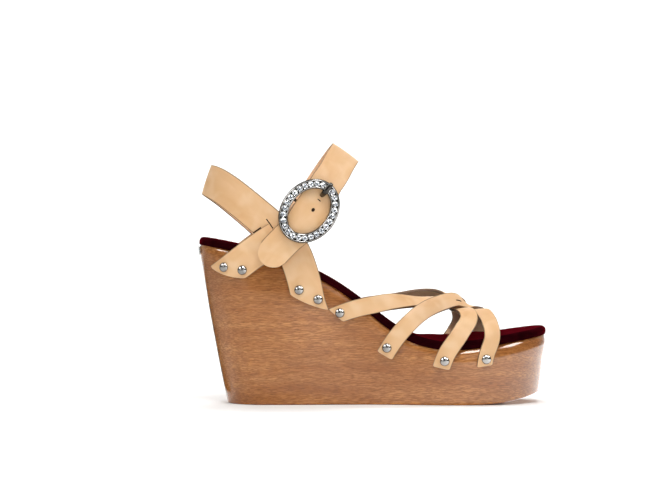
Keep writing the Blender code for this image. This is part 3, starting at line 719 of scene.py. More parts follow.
class Strap:
    """The middle of a strap's thickness, as a function of the share of its length and the place across it.

    Near an end with a seat the strap lies on the wood. After loop_from its width keeps its direction, so
    that it can turn back round a bar.
    """

    def __init__(self, rows, width, normal_at, seats, trims, loop_from=None, end_width=None, swell=None):
        self.curve, self.length = through_rows(rows)
        self.width, self.end_width = width, end_width or width
        self.seats, self.trims, self.swell = seats, trims, swell
        self.lengths = np.linspace(0.0, self.length, STRAP_SAMPLES)
        points = np.array([self.curve(value) for value in self.lengths])
        tangents = np.array([unit(step) for step in np.gradient(points, axis=0)])
        sides = []
        for at, point, tangent in zip(self.lengths, points, tangents):
            if loop_from is None or at < loop_from:
                sides.append(unit(np.cross(tangent, unit(normal_at(point)))))
            else:
                sides.append(unit(sides[-1] - np.dot(sides[-1], tangent) * tangent))
        self.sides = np.array(sides)

    def place(self, share, across):
        """The length along the strap of a place on it."""
        first, last = self.trims[0](across), self.length - self.trims[1](across)
        return first + (last - first) * share

    def at(self, length, across):
        """The point at a length along the strap and a place across it."""
        side = unit(np.array([np.interp(length, self.lengths, self.sides[:, axis]) for axis in range(3)]))
        here = self.width + (self.end_width - self.width) * smooth_step(length / self.length)
        if self.swell:
            middle, reach, wider = self.swell
            away = np.linalg.norm(self.curve(length) - middle)
            here += wider * math.exp(-((away / reach) ** 2))
        point = self.curve(length) + side * across * here / 2
        for (seat, leaving), distance in zip(self.seats, (length, self.length - length)):
            if seat and distance < seat + leaving:
                hold = 1 - smooth_step((distance - seat) / leaving)
                facing = OUTER if point[1] < 0 else INNER
                outward = wood_normal(point[0], point[2], facing)
                away = (SEAT_GAP + LEATHER / 2) / max(abs(outward[1]), SEAT_LEAST_SIDE)
                seated = wood_side(point[0], point[2], facing) + facing * away
                point[1] += hold * (seated - point[1])
        return point


def buckle_point(along, across, y):
    """A point in the buckle's own plane: along its long axis, across it, and at a depth."""
    cosine, sine = math.cos(BUCKLE_TURN), math.sin(BUCKLE_TURN)
    x = BUCKLE_CENTRE[0] + along * cosine - across * sine
    z = BUCKLE_CENTRE[1] + along * sine + across * cosine
    return np.array([x, y, z])


def buckle_line(rows):
    """Rows of distance along the buckle and y, in its middle."""
    return [buckle_point(along, 0.0, y) for along, y in rows]


def frame_point(turn, from_inner_edge):
    """Distance along and across the buckle of a point on its band, at an angle round it."""
    half_length = BUCKLE_HALF_LENGTH - BUCKLE_BAND / 2
    half_width = BUCKLE_HALF_WIDTH - BUCKLE_BAND / 2
    along, across = half_length * math.cos(turn), half_width * math.sin(turn)
    outward = unit(np.array([half_width * math.cos(turn), half_length * math.sin(turn)]))
    reach = from_inner_edge - BUCKLE_BAND / 2
    return along + outward[0] * reach, across + outward[1] * reach


def stud_x(x, z, side, shift):
    """A stud's x on either side: the inner toe straps, and so their studs, lie further forward."""
    if side == OUTER:
        return x
    return x + shift * INNER_FORWARD * min(abs(wood_side(x, z, INNER)) / INNER_HALF_WIDTH, 1.0)


def sole_stations():
    """Shares of the length, close together at the round ends."""
    middle = [0.5 - 0.5 * math.cos(math.pi * i / SOLE_STATIONS) for i in range(1, SOLE_STATIONS)]
    return [*END_SHARES, *middle, *(1 - share for share in reversed(END_SHARES))]


# Colours, nodes and meshes


def srgb(text):
    """A hex colour as linear red, green and blue."""
    parts = [int(text[i : i + 2], 16) / 255 for i in (1, 3, 5)]
    return tuple(part / 12.92 if part <= 0.04045 else ((part + 0.055) / 1.055) ** 2.4 for part in parts)


def add_node(tree, kind, sockets=(), **settings):
    """A node with its settings. Each of its sockets gets a value, or a link from another node's output."""
    node = tree.nodes.new(kind)
    for name, value in settings.items():
        setattr(node, name, value)
    for key, value in dict(sockets).items():
        if isinstance(value, bpy.types.NodeSocket):
            tree.links.new(value, node.inputs[key])
        else:
            node.inputs[key].default_value = value
    return node


def new_material(name, settings):
    """A material with one shader, its settings as socket values, and the material's node tree and shader."""
    material = bpy.data.materials.new(name)
    material.use_nodes = True
    shader = material.node_tree.nodes["Principled BSDF"]
    for key, value in settings.items():
        shader.inputs[key].default_value = value if isinstance(value, (int, float)) else (*value, 1.0)
    return material, material.node_tree, shader


def stained(tree, ground, stain, mask, span=(0.0, 1.0), most=1.0, least=0.0):
    """The ground's colour, turning into the stain's where the mask rises through its span.

    Each colour is a tuple or another node's output. The stain's share goes from least to most.
    """
    reach = {"Value": mask, "From Min": span[0], "From Max": span[1], "To Min": least, "To Max": most}
    share = add_node(tree, "ShaderNodeMapRange", reach).outputs[0]
    ends = [value if isinstance(value, bpy.types.NodeSocket) else (*value, 1.0) for value in (ground, stain)]
    return add_node(tree, "ShaderNodeMix", {0: share, 6: ends[0], 7: ends[1]}, data_type="RGBA").outputs[2]


def streaks(tree, source, sizes_mm, detail=3.0, roughness=0.55, distortion=0.0):
    """Noise whose marks are about this long each way, in millimetres."""
    scale = tuple(1 / (size * MM) for size in sizes_mm)
    mapping = add_node(tree, "ShaderNodeMapping", {"Vector": source, "Scale": scale})
    noise = {"Vector": mapping.outputs[0], "Scale": 1.0, "Detail": detail, "Roughness": roughness}
    noise["Distortion"] = distortion
    return add_node(tree, "ShaderNodeTexNoise", noise).outputs["Fac"]


def cover(tree, shader, colour, relief=None, depth_mm=0.0, strength=1.0):
    """Give a shader its colour and, where it has one, a relief this deep."""
    tree.links.new(colour, shader.inputs["Base Color"])
    if relief is not None:
        bump = {"Height": relief, "Distance": depth_mm * MM, "Strength": strength}
        tree.links.new(add_node(tree, "ShaderNodeBump", bump).outputs[0], shader.inputs["Normal"])


def lacquered_beech(look):
    """Stained beech under clear gloss lacquer: thin dark lines, flecks and bands under a mirror-like coat,
    and painted shade that darkens it towards the top.

    The lines and flecks are drawn coarser than real beech has them, so that they show.
    """
    settings = {"Roughness": 0.5, "Specular IOR Level": 0.0, "Coat Weight": 1.0}
    settings["Coat Roughness"] = look.lacquer_roughness
    material, tree, shader = new_material("lacquered beech", settings)
    place = add_node(tree, "ShaderNodeTexCoord").outputs["Object"]
    bands = streaks(tree, place, (90.0, 40.0, 9.0), 3.0, 0.5, 0.6)
    fine = streaks(tree, place, (6.0, 2.5, 0.45), 1.0, 0.5, 0.3)
    flecks = streaks(tree, place, (3.0, 1.6, 0.42), 1.0, 0.5, 0.2)
    height = add_node(tree, "ShaderNodeSeparateXYZ", {0: place}).outputs[2]
    colour = stained(tree, look.wood_dark, look.wood_light, bands, (0.32, 0.68))
    # Painted shade: the wood turns darker towards the top, in the flecks' colour
    colour = stained(tree, colour, look.wood_fleck, height, WOOD_SHADE_HEIGHTS, 0.22)
    colour = stained(tree, colour, look.wood_fleck, fine, (0.42, 0.58), 0.56)
    colour = stained(tree, colour, look.wood_fleck, flecks, (0.55, 0.64), 0.5)
    cover(tree, shader, colour, flecks, 0.05, 0.3)
    return material


def cotton_velvet(look):
    """Woven and cut cotton pile: nearly black red face on, with a soft light rim where it is seen edge on."""
    settings = {"Roughness": 0.95, "Sheen Weight": 0.45, "Sheen Roughness": 0.3, "Specular IOR Level": 0.0}
    settings["Sheen Tint"] = look.velvet_sheen
    material, tree, shader = new_material("cotton velvet", settings)
    place = add_node(tree, "ShaderNodeTexCoord").outputs["Object"]
    crush = streaks(tree, place, (26.0, 9.0, 9.0), 3.0, 0.6, 0.8)
    pile = streaks(tree, place, (0.9, 0.9, 0.9), 2.0)
    colour = stained(tree, look.velvet_dark, look.velvet_light, crush, (0.4, 0.7))
    cover(tree, shader, colour, pile, 0.25, 0.6)
    return material


def tanned_leather_grain(look):
    """The smooth side of vegetable tanned leather: even pale tan, faint pores, soft pull-up marks, and a dark
    line along its edges that is partly burnish and partly painted shade.
    """
    settings = {"Roughness": 0.46, "IOR": 1.46, "Specular IOR Level": 0.12}
    material, tree, shader = new_material("vegetable tanned leather grain", settings)
    place = add_node(tree, "ShaderNodeUVMap", uv_map="strap").outputs[0]
    clouds = streaks(tree, place, (34.0, 12.0, 12.0), 3.0, 0.5, 0.4)
    pulls = streaks(tree, place, (11.0, 13.0, 8.0), 1.0, 0.5, 0.3)
    rim = add_node(tree, "ShaderNodeUVMap", uv_map="rim").outputs[0]
    rim = add_node(tree, "ShaderNodeSeparateXYZ", {0: rim}).outputs[0]
    pores = streaks(tree, place, (look.leather_pore / MM,) * 3, 2.0, 0.6)
    colour = stained(tree, look.leather_light, look.leather_deep, clouds, (0.35, 0.7))
    colour = stained(tree, colour, look.leather_pale, pulls, (0.5, 0.75), 0.4)
    # The dark line along the edges is partly burnish, partly painted shade
    burnished = look.leather_rim_burnish_and_shade / 3, look.leather_rim_burnish_and_shade
    colour = stained(tree, colour, look.edge_dark, rim, burnished, most=0.0, least=0.75)
    cover(tree, shader, colour, pores, 0.1, 0.3)
    return material


def tanned_leather_flesh(look):
    """The inner side of the leather: paler, matt and napped. It mostly lies in shade."""
    settings = {"Roughness": 0.9, "Sheen Weight": 0.8, "Sheen Roughness": 0.4, "Specular IOR Level": 0.1}
    settings["Sheen Tint"] = look.flesh_light
    material, tree, shader = new_material("vegetable tanned leather flesh", settings)
    place = add_node(tree, "ShaderNodeUVMap", uv_map="strap").outputs[0]
    nap = streaks(tree, place, (1.6, 0.8, 0.8), 4.0, 0.7)
    cover(tree, shader, stained(tree, look.flesh_dark, look.flesh_light, nap), nap, 0.2, 0.6)
    return material


def tanned_leather_edge(look):
    """The cut edge of the leather: burnished, darker than its face and streaked by the knife."""
    material, tree, shader = new_material("vegetable tanned leather cut edge", {"Roughness": 0.6})
    place = add_node(tree, "ShaderNodeTexCoord").outputs["Object"]
    fibres = streaks(tree, place, (1.4, 1.4, 0.5), 3.0)
    cover(tree, shader, stained(tree, look.edge_dark, look.edge_light, fibres), fibres, 0.1, 0.5)
    return material


def tanned_leather_hole(look):
    """The leather inside a punched hole or a slit: raw, and painted near black as the shade down in it."""
    material, tree, shader = new_material("vegetable tanned leather in a hole", {"Roughness": 0.9})
    place = add_node(tree, "ShaderNodeTexCoord").outputs["Object"]
    fibres = streaks(tree, place, (0.8, 0.8, 0.8), 2.0)
    cover(tree, shader, stained(tree, look.hole_shade_dark, look.edge_dark, fibres))
    return material


def polished_nickel(look, name="polished nickel", plate=None):
    """Nickel plate polished on a wheel: a clear warm grey mirror with faint haze from the wheel."""
    material, tree, shader = new_material(name, {"Metallic": 1.0, "Base Color": plate or look.nickel})
    place = add_node(tree, "ShaderNodeTexCoord").outputs["Object"]
    haze = streaks(tree, place, (2.5, 2.5, 0.8), 3.0)
    reach = {"Value": haze, "From Min": 0.3, "From Max": 0.7, "To Min": 0.06, "To Max": 0.2}
    tree.links.new(add_node(tree, "ShaderNodeMapRange", reach).outputs[0], shader.inputs["Roughness"])
    return material


def black_nickel(look):
    """Nickel plate with a dark wash under its polish."""
    return polished_nickel(look, "black nickel", look.nickel_dark)


def shade_painted_nickel(look):
    """Nickel painted nearly black as shade: the buckle's base shows as a shadow round its band, its channel
    as shade between the stones, and the bar and the prong as metal in shade.
    """
    return polished_nickel(look, "tarnished nickel", look.nickel_shade_dark)


def foiled_crystal(look):
    """Cut glass with a silver foil behind it: each facet is its own small mirror."""
    settings = {"Metallic": 0.75, "Roughness": 0.04, "Coat Weight": 1.0, "Coat Roughness": 0.02}
    material, tree, shader = new_material("foiled crystal", settings)
    place = add_node(tree, "ShaderNodeTexCoord").outputs["Object"]
    foil = streaks(tree, place, (1.1, 1.1, 1.1), 1.0)
    cover(tree, shader, stained(tree, look.crystal_shade, look.crystal, foil, (0.4, 0.6)))
    return material


def paper_backdrop(_look):
    """Seamless white studio paper: matt, with a faint tooth."""
    material, tree, shader = new_material("studio paper", {"Roughness": 0.95, "Specular IOR Level": 0.1})
    place = add_node(tree, "ShaderNodeTexCoord").outputs["Object"]
    tooth = streaks(tree, place, (2.0, 2.0, 2.0))
    cover(tree, shader, stained(tree, srgb("#F4F4F3"), srgb("#FAFAF9"), tooth))
    return material


def black_card(_look):
    """Matt black card that fades out towards the front, so that its reflection has a soft edge."""
    settings = {"Base Color": srgb("#0A0A0A"), "Roughness": 1.0}
    material, tree, shader = new_material("black card", settings)
    place = add_node(tree, "ShaderNodeTexCoord").outputs["Object"]
    place = add_node(tree, "ShaderNodeSeparateXYZ", {0: place}).outputs
    beside = add_node(tree, "ShaderNodeMath", {0: HEEL_X * MM, 1: place[0]}, operation="SUBTRACT").outputs[0]
    turn = add_node(tree, "ShaderNodeMath", {0: place[1], 1: beside}, operation="ARCTAN2").outputs[0]
    faded = add_node(tree, "ShaderNodeMapRange", {"Value": turn}).outputs[0]
    tree.links.new(faded, shader.inputs["Alpha"])
    return material


def glowing(strength):
    return {"Base Color": (0.0, 0.0, 0.0), "Emission Color": (1.0, 1.0, 1.0), "Emission Strength": strength}


def lit_card(_look):
    """White card with light on it, which fades out towards the heel."""
    material, tree, shader = new_material("lit card", glowing(BRIGHT_CARD_GLOW))
    place = add_node(tree, "ShaderNodeTexCoord").outputs["Object"]
    along = add_node(tree, "ShaderNodeSeparateXYZ", {0: place}).outputs[0]
    start, end = BRIGHT_CARD_FADE
    fade = {"Value": along, "From Min": start, "From Max": end}
    faded = add_node(tree, "ShaderNodeMapRange", fade).outputs[0]
    tree.links.new(faded, shader.inputs["Alpha"])
    return material


def lit_panel(_look):
    """A soft box's front, evenly lit."""
    return new_material("lit panel", glowing(PANEL_GLOW))[0]


MATERIALS = {
    "wood": lacquered_beech,
    "velvet": cotton_velvet,
    "grain": tanned_leather_grain,
    "flesh": tanned_leather_flesh,
    "edge": tanned_leather_edge,
    "hole": tanned_leather_hole,
    "nickel": polished_nickel,
    "dark nickel": black_nickel,
    "shade-painted nickel": shade_painted_nickel,
    "crystal": foiled_crystal,
    "paper": paper_backdrop,
    "dark card": black_card,
    "bright card": lit_card,
    "lit panel": lit_panel,
}
made_materials = {}
LEATHER_SIDES = ("grain", "flesh", "edge", "hole")


def finish(name):
    """A finish by its short name, made when it is first asked for."""
    if name not in made_materials:
        made_materials[name] = MATERIALS[name](bpy.context.scene.sandal_look)
    return made_materials[name]


def show(obj):
    bpy.context.scene.collection.objects.link(obj)
    return obj


def mesh_object(name, bm, materials, smooth_angle=50):
    """A linked object, shaded smooth except over its sharp edges."""
    mesh = bpy.data.meshes.new(name)
    bm.to_mesh(mesh)
    bm.free()
    mesh.shade_smooth()
    mesh.set_sharp_from_angle(angle=math.radians(smooth_angle))
    for material in materials:
        mesh.materials.append(finish(material))
    return show(bpy.data.objects.new(name, mesh))


def made_plain(obj, smooth_angle=None):
    """The same object with its modifiers turned into plain mesh."""
    bpy.context.view_layer.update()
    graph = bpy.context.evaluated_depsgraph_get()
    shown = obj.evaluated_get(graph)
    mesh = bpy.data.meshes.new_from_object(shown, preserve_all_data_layers=True, depsgraph=graph)
    obj.modifiers.clear()
    obj.data = mesh
    if smooth_angle:
        mesh.shade_smooth()
        mesh.set_sharp_from_angle(angle=math.radians(smooth_angle))
    return obj


def add_modifier(obj, name, kind, **settings):
    modifier = obj.modifiers.new(name, kind)
    for key, value in settings.items():
        setattr(modifier, key, value)
    return modifier


def soften(obj, width, **settings):
    """Round an object's sharp edges."""
    add_modifier(obj, "soft edges", "BEVEL", width=width, segments=3, limit_method="ANGLE", **settings)


def drop(*helpers):
    for helper in helpers:
        bpy.data.objects.remove(helper)


def loft(name, rings, materials, closed=False, smooth_angle=50):
    """A solid through rings of points, capped at its ends unless it closes on itself."""
    bm = bmesh.new()
    loops = [[bm.verts.new(Vector(point) * MM) for point in ring] for ring in rings]
    pairs = list(zip(loops, loops[1:] + loops[:1])) if closed else list(zip(loops, loops[1:]))
    for here, there in pairs:
        for i in range(len(here)):
            j = (i + 1) % len(here)
            bm.faces.new((here[i], here[j], there[j], there[i]))
    if not closed:
        bm.faces.new(loops[0])
        bm.faces.new(loops[-1])
    bmesh.ops.recalc_face_normals(bm, faces=bm.faces[:])
    return mesh_object(name, bm, materials, smooth_angle)


def hand_over(piece, slot, *nodes):
    """The finished piece moves with the shoe and stands for its solids."""
    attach(piece, "root")
    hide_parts(*nodes)


def leather_sheet(strap, cells, shares=(0.0, 1.0), spread=None, across_range=(-1, 1)):
    """The strap's middle as a grid, grain side out, with places and distances from its rim as UV maps."""
    bm = bmesh.new()
    uv = bm.loops.layers.uv.new("strap")
    rim = bm.loops.layers.uv.new("rim")
    bmesh.ops.create_grid(bm, x_segments=cells[0], y_segments=cells[1], size=1.0)
    bmesh.ops.reverse_faces(bm, faces=bm.faces[:])
    low, high = across_range
    places = {}
    for vert in bm.verts:
        share = shares[0] + (shares[1] - shares[0]) * (vert.co.x + 1) / 2
        if spread:
            share = np.interp(share, (0.0, spread[0], 1.0), (0.0, spread[1], 1.0))
        across = low + (high - low) * (vert.co.y + 1) / 2
        places[vert] = strap.place(share, across), across
    for face in bm.faces:
        for loop in face.loops:
            at, across = places[loop.vert]
            loop[uv].uv = at * MM, across * strap.width / 2 * MM
            loop[rim].uv = (1 - abs(across)) * strap.width / 2 * MM, 0.0
    for vert in bm.verts:
        vert.co = Vector(strap.at(*places[vert])) * MM
    bm.normal_update()
    return bm, places


def leather_strap(name, strap, cells, spread=None, cutters=()):
    """A strap of leather with a smooth side, a napped side and cut edges, a little cupped and uneven."""
    sizes = bpy.context.scene.sandal_sizes
    bm, places = leather_sheet(strap, cells, spread=spread)
    lifts = {}
    for vert in bm.verts:
        at, across = places[vert]
        wave = math.sin(at / SHORT_WAVE + WAVE_SLANT * across) * math.sin(at / LONG_WAVE + len(name))
        lifts[vert] = sizes.strap_wave * wave - sizes.strap_cup * across**2
    for vert, lift in lifts.items():
        vert.co += vert.normal * lift
    piece = mesh_object(name, bm, LEATHER_SIDES)
    sides = {"use_even_offset": True, "material_offset": 1, "material_offset_rim": 2}
    add_modifier(piece, "thickness", "SOLIDIFY", thickness=LEATHER * MM, offset=0.0, **sides)
    for cutter in cutters:
        add_modifier(piece, "hole", "BOOLEAN", operation="DIFFERENCE", object=cutter)
    soften(piece, sizes.strap_edge, angle_limit=math.radians(50))
    made_plain(piece, 55)
    drop(*cutters)
    return piece


def block_cutter(along, across, depth, sides=4):
    """A block in the buckle's own directions, from one corner to the opposite one, round with more sides."""
    bm = bmesh.new()
    turn = Matrix.Rotation(math.pi / sides, 4, "Z") if sides == 4 else Matrix.Identity(4)
    reach = math.sqrt(0.5) if sides == 4 else 0.5
    bmesh.ops.create_cone(
        bm, cap_ends=True, segments=sides, radius1=reach, radius2=reach, depth=1.0, matrix=turn
    )
    ranges = along, across, depth
    for vert in bm.verts:
        place = [low + (high - low) * (share + 0.5) for (low, high), share in zip(ranges, vert.co)]
        vert.co = Vector(buckle_point(*place)) * MM
    for face in bm.faces:
        face.material_index = LEATHER_SIDES.index("hole")
    bmesh.ops.recalc_face_normals(bm, faces=bm.faces[:])
    return mesh_object("cutter", bm, LEATHER_SIDES)


def slit_cutter(strap, shares, half_width, across=0.0, depth=SLIT_DEPTH):
    """A thin block along a strap that cuts a slit into its smooth side."""
    bm, _ = leather_sheet(strap, SLIT_CELLS, shares, across_range=(across - half_width, across + half_width))
    for face in bm.faces:
        face.material_index = LEATHER_SIDES.index("hole")
    cutter = mesh_object("slit", bm, LEATHER_SIDES)
    inward, outward = depth
    thickness = inward + outward
    add_modifier(cutter, "depth", "SOLIDIFY", thickness=thickness * MM, offset=(outward - inward) / thickness)
    return made_plain(cutter)


def setting_tree():
    """Nodes that set one small piece on each point, facing its way, as one plain mesh."""
    tree = bpy.data.node_groups.new("set pieces on points", "GeometryNodeTree")
    sockets = (
        ("Points", "INPUT", "NodeSocketGeometry"),
        ("Piece", "INPUT", "NodeSocketObject"),
        ("Size", "INPUT", "NodeSocketFloat"),
        ("Finish", "INPUT", "NodeSocketMaterial"),
        ("Pieces", "OUTPUT", "NodeSocketGeometry"),
    )
    for name, way, kind in sockets:
        tree.interface.new_socket(name=name, in_out=way, socket_type=kind)
    given = add_node(tree, "NodeGroupInput").outputs
    facing = add_node(tree, "GeometryNodeInputNamedAttribute", {"Name": "facing"}, data_type="FLOAT_VECTOR")
    spin = add_node(tree, "GeometryNodeInputNamedAttribute", {"Name": "spin"}, data_type="FLOAT")
    turned = add_node(tree, "FunctionNodeAlignRotationToVector", {"Vector": facing.outputs[0]}, axis="Z")
    about = {"Axis": (0.0, 0.0, 1.0), "Angle": spin.outputs[0]}
    about = add_node(tree, "FunctionNodeAxisAngleToRotation", about).outputs[0]
    both = {"Rotation": turned.outputs[0], "Rotate By": about}
    rotation = add_node(tree, "FunctionNodeRotateRotation", both, rotation_space="LOCAL").outputs[0]
    piece = add_node(tree, "GeometryNodeObjectInfo", {"Object": given["Piece"]}).outputs["Geometry"]
    placed = {"Points": given["Points"], "Instance": piece, "Rotation": rotation, "Scale": given["Size"]}
    placed = add_node(tree, "GeometryNodeInstanceOnPoints", placed).outputs[0]
    real = add_node(tree, "GeometryNodeRealizeInstances", {"Geometry": placed}).outputs[0]
    done = {"Geometry": real, "Material": given["Finish"]}
    done = add_node(tree, "GeometryNodeSetMaterial", done).outputs[0]
    add_node(tree, "NodeGroupOutput", {"Pieces": done})
    return tree


def set_on_points(name, places, pattern, material, smooth_angle, size=1.0):
    """One mesh of many like pieces. Each place has a point, the way it faces and its turn about that."""
    mesh = bpy.data.meshes.new(name)
    mesh.from_pydata([Vector(point) * MM for point, _, _ in places], [], [])
    facing = mesh.attributes.new("facing", "FLOAT_VECTOR", "POINT")
    facing.data.foreach_set("vector", np.array([way for _, way, _ in places], np.float32).ravel())
    spin = mesh.attributes.new("spin", "FLOAT", "POINT")
    spin.data.foreach_set("value", np.array([turn for _, _, turn in places], np.float32))
    made = show(bpy.data.objects.new(name, mesh))
    tree = bpy.data.node_groups.get("set pieces on points") or setting_tree()
    modifier = add_modifier(made, "set", "NODES", node_group=tree)
    inputs = {item.name: item.identifier for item in tree.interface.items_tree if item.in_out == "INPUT"}
    modifier[inputs["Piece"]] = pattern
    modifier[inputs["Size"]] = size
    modifier[inputs["Finish"]] = finish(material)
    made_plain(made, smooth_angle)
    drop(pattern)
    return made


def turned_pattern(name, profile, steps):
    """A piece turned about its own z axis from rows of radius and height."""
    bm = bmesh.new()
    verts = [bm.verts.new((radius * MM, 0.0, height * MM)) for radius, height in profile]
    edges = [bm.edges.new(pair) for pair in zip(verts, verts[1:])]
    bmesh.ops.spin(
        bm, geom=verts + edges, axis=(0, 0, 1), cent=(0, 0, 0), angle=2 * math.pi, steps=steps, use_merge=True
    )
    bmesh.ops.remove_doubles(bm, verts=bm.verts[:], dist=1e-6)
    bmesh.ops.recalc_face_normals(bm, faces=bm.faces[:])
    return mesh_object(name, bm, ())


# Settings


def size_mm(name, description, default):
    kind = {"subtype": "DISTANCE", "precision": 5}
    return FloatProperty(name=name, description=description, default=default * MM, **kind)


def colour(name, description, default):
    return FloatVectorProperty(
        name=name, description=description, default=srgb(default), subtype="COLOR", size=3, min=0.0, max=1.0
    )


class SandalSizes(bpy.types.PropertyGroup):
    """Sizes of small forms, and the photo's view"""

    strap_edge: size_mm("Strap edge", "Radius of the straps' cut edges", 0.35)
    strap_wave: size_mm("Strap wave", "How uneven the straps lie", 0.16)
    strap_cup: size_mm("Strap cup", "How far the straps' edges turn towards the foot", 0.25)
    stud_radius: size_mm("Stud radius", "Radius of a stud's head", 3.2)
    stud_height: size_mm("Stud height", "Height of a stud's head", 2.2)
    stone_radius: size_mm("Stone radius", "Radius of a stone at its widest", 1.62)
    bezel_radius: size_mm("Setting radius", "Radius of the ring round each stone", 1.82)
    lens: FloatProperty(name="Lens", description="Focal length in mm on a 36 mm sensor", default=127.35)
    camera_distance: size_mm("Camera distance", "From the camera to the shoe's middle", 1600.0)
    camera_yaw: FloatProperty(
        name="Camera turn",
        description="Turn of the view to the toe",
        default=math.radians(3.5),
        subtype="ANGLE",
    )
    stud_sides: IntProperty(name="Stud sides", description="Sides of a stud's round head", default=28)


class SandalLook(bpy.types.PropertyGroup):
    """Colours and finishes"""

    wood_dark: colour("Wood, dark bands", "Colour of the late wood", "#9D5F2B")
    wood_light: colour("Wood, light bands", "Colour of the early wood", "#BE8046")
    # The fleck colour also tints the painted shade towards the top of the wedge
    wood_fleck: colour("Wood flecks", "Colour of the short flecks", "#6B3A14")
    lacquer_roughness: FloatProperty(name="Lacquer", description="Roughness of the lacquer", default=0.1)
    velvet_dark: colour("Velvet, dark", "Colour of the upright pile", "#1A0205")
    velvet_light: colour("Velvet, light", "Colour of the brushed pile", "#2C0409")
    velvet_sheen: colour("Velvet sheen", "Colour of the pile's sheen", "#B01A2C")
    leather_light: colour("Leather", "Main colour of the leather", "#DBB48A")
    leather_deep: colour("Leather, deep", "Colour of its darker clouds", "#D0A476")
    leather_pale: colour("Leather, pale", "Colour of its pull-up marks", "#E4C7A2")
    # A dark line along the straps' edges: partly burnish, partly painted shade
    leather_rim_burnish_and_shade: size_mm("Burnished and shaded rim", "Width of the dark line along the straps' edges", 0.6)
    leather_pore: size_mm("Pores", "Drawn coarser than real pores so that they show", 0.8)
    flesh_dark: colour("Flesh side, dark", "Colour of the leather's inner side", "#F4BE93")
    flesh_light: colour("Flesh side, light", "Colour of its raised nap", "#FAD9B6")
    edge_dark: colour("Cut edge, dark", "Colour of the burnished edge", "#4E351F")
    edge_light: colour("Cut edge, light", "Colour of the edge's fibres", "#7E5A36")
    # The near black in holes and slits is painted shade
    hole_shade_dark: colour("Hole", "Colour of the leather in the holes", "#0E0804")
    nickel: colour("Nickel", "Colour of the stones' settings and the heel plate", "#D6D5D3")
    nickel_dark: colour("Black nickel", "Colour of the studs and the buckle's band", "#918F8C")
    # Near black nickel: painted shade on the buckle's base, channel, bar and prong
    nickel_shade_dark: colour("Nickel, painted shade", "Colour of the prong, the bar and the buckle's base", "#3C3A37")
    crystal: colour("Crystal", "Colour of the stones", "#F2F5FA")
    crystal_shade: colour("Crystal, shade", "Colour of the stones' darker foil", "#7C848E")


# Pieces


class SANDAL_OT_wedge(bpy.types.Operator):
    """Make the lacquered wooden wedge"""

    bl_idname = "sandal.make_wedge"
    bl_label = "Wooden wedge"

    def execute(self, context):
        rings = []
        for share in sole_stations():
            outer = [wood_point(share, OUTER, *row) for row in WOOD_EDGE]
            inner = [wood_point(share, INNER, *row) for row in reversed(WOOD_EDGE)]
            rings.append(outer + inner)
        hand_over(loft("wooden_wedge", rings, ("wood",)), "lacquered_wood", "wedge_sole")
        return {"FINISHED"}


class SANDAL_OT_insole(bpy.types.Operator):
    """Make the padded velvet insole"""

    bl_idname = "sandal.make_insole"
    bl_label = "Velvet insole"

    def execute(self, context):
        rings = [self.ring(share) for share in sole_stations()]
        insole = loft("velvet_insole", rings, ("velvet",), smooth_angle=80)
        hand_over(insole, "velvet", "insole")
        return {"FINISHED"}

    @staticmethod
    def ring(share):
        """The insole's section at a share of the length: its outer edge, crowned top and inner edge."""
        radius = INSOLE_THICKNESS / 2
        low = arch_lift(share) - INSOLE_SINK
        pad = ball_pad(share)
        edges = {OUTER: [], INNER: []}
        for side, edge in edges.items():
            top = GAP + INSOLE_THICKNESS + (pad if side == INNER else 0.0)
            for i in range(INSOLE_EDGE_STEPS + 1):
                angle = math.pi * (i / INSOLE_EDGE_STEPS - 0.5)
                inset = radius * (1 - math.cos(angle)) * (1.0 if angle > 0 else INSOLE_FOOT)
                x, y = insole_outline(share, side, inset)
                height = (1 + math.sin(angle)) / 2
                rise = (top - low) * height + low
                edge.append(np.array([x, y, footbed(x)]) + footbed_normal(x) * rise)
        start = edges[OUTER][-1]
        end_y = insole_outline(share, INNER, radius)[1]
        crown = []
        for i in range(1, INSOLE_CROWN_STEPS):
            span = i / INSOLE_CROWN_STEPS
            lift = INSOLE_CROWN * math.sin(math.pi * span) * end_rounding(share) + pad * span
            y = start[1] + (end_y - start[1]) * span
            crown.append(np.array([start[0], y, start[2]]) + footbed_normal(start[0]) * lift)
        return edges[OUTER] + crown + edges[INNER][::-1]


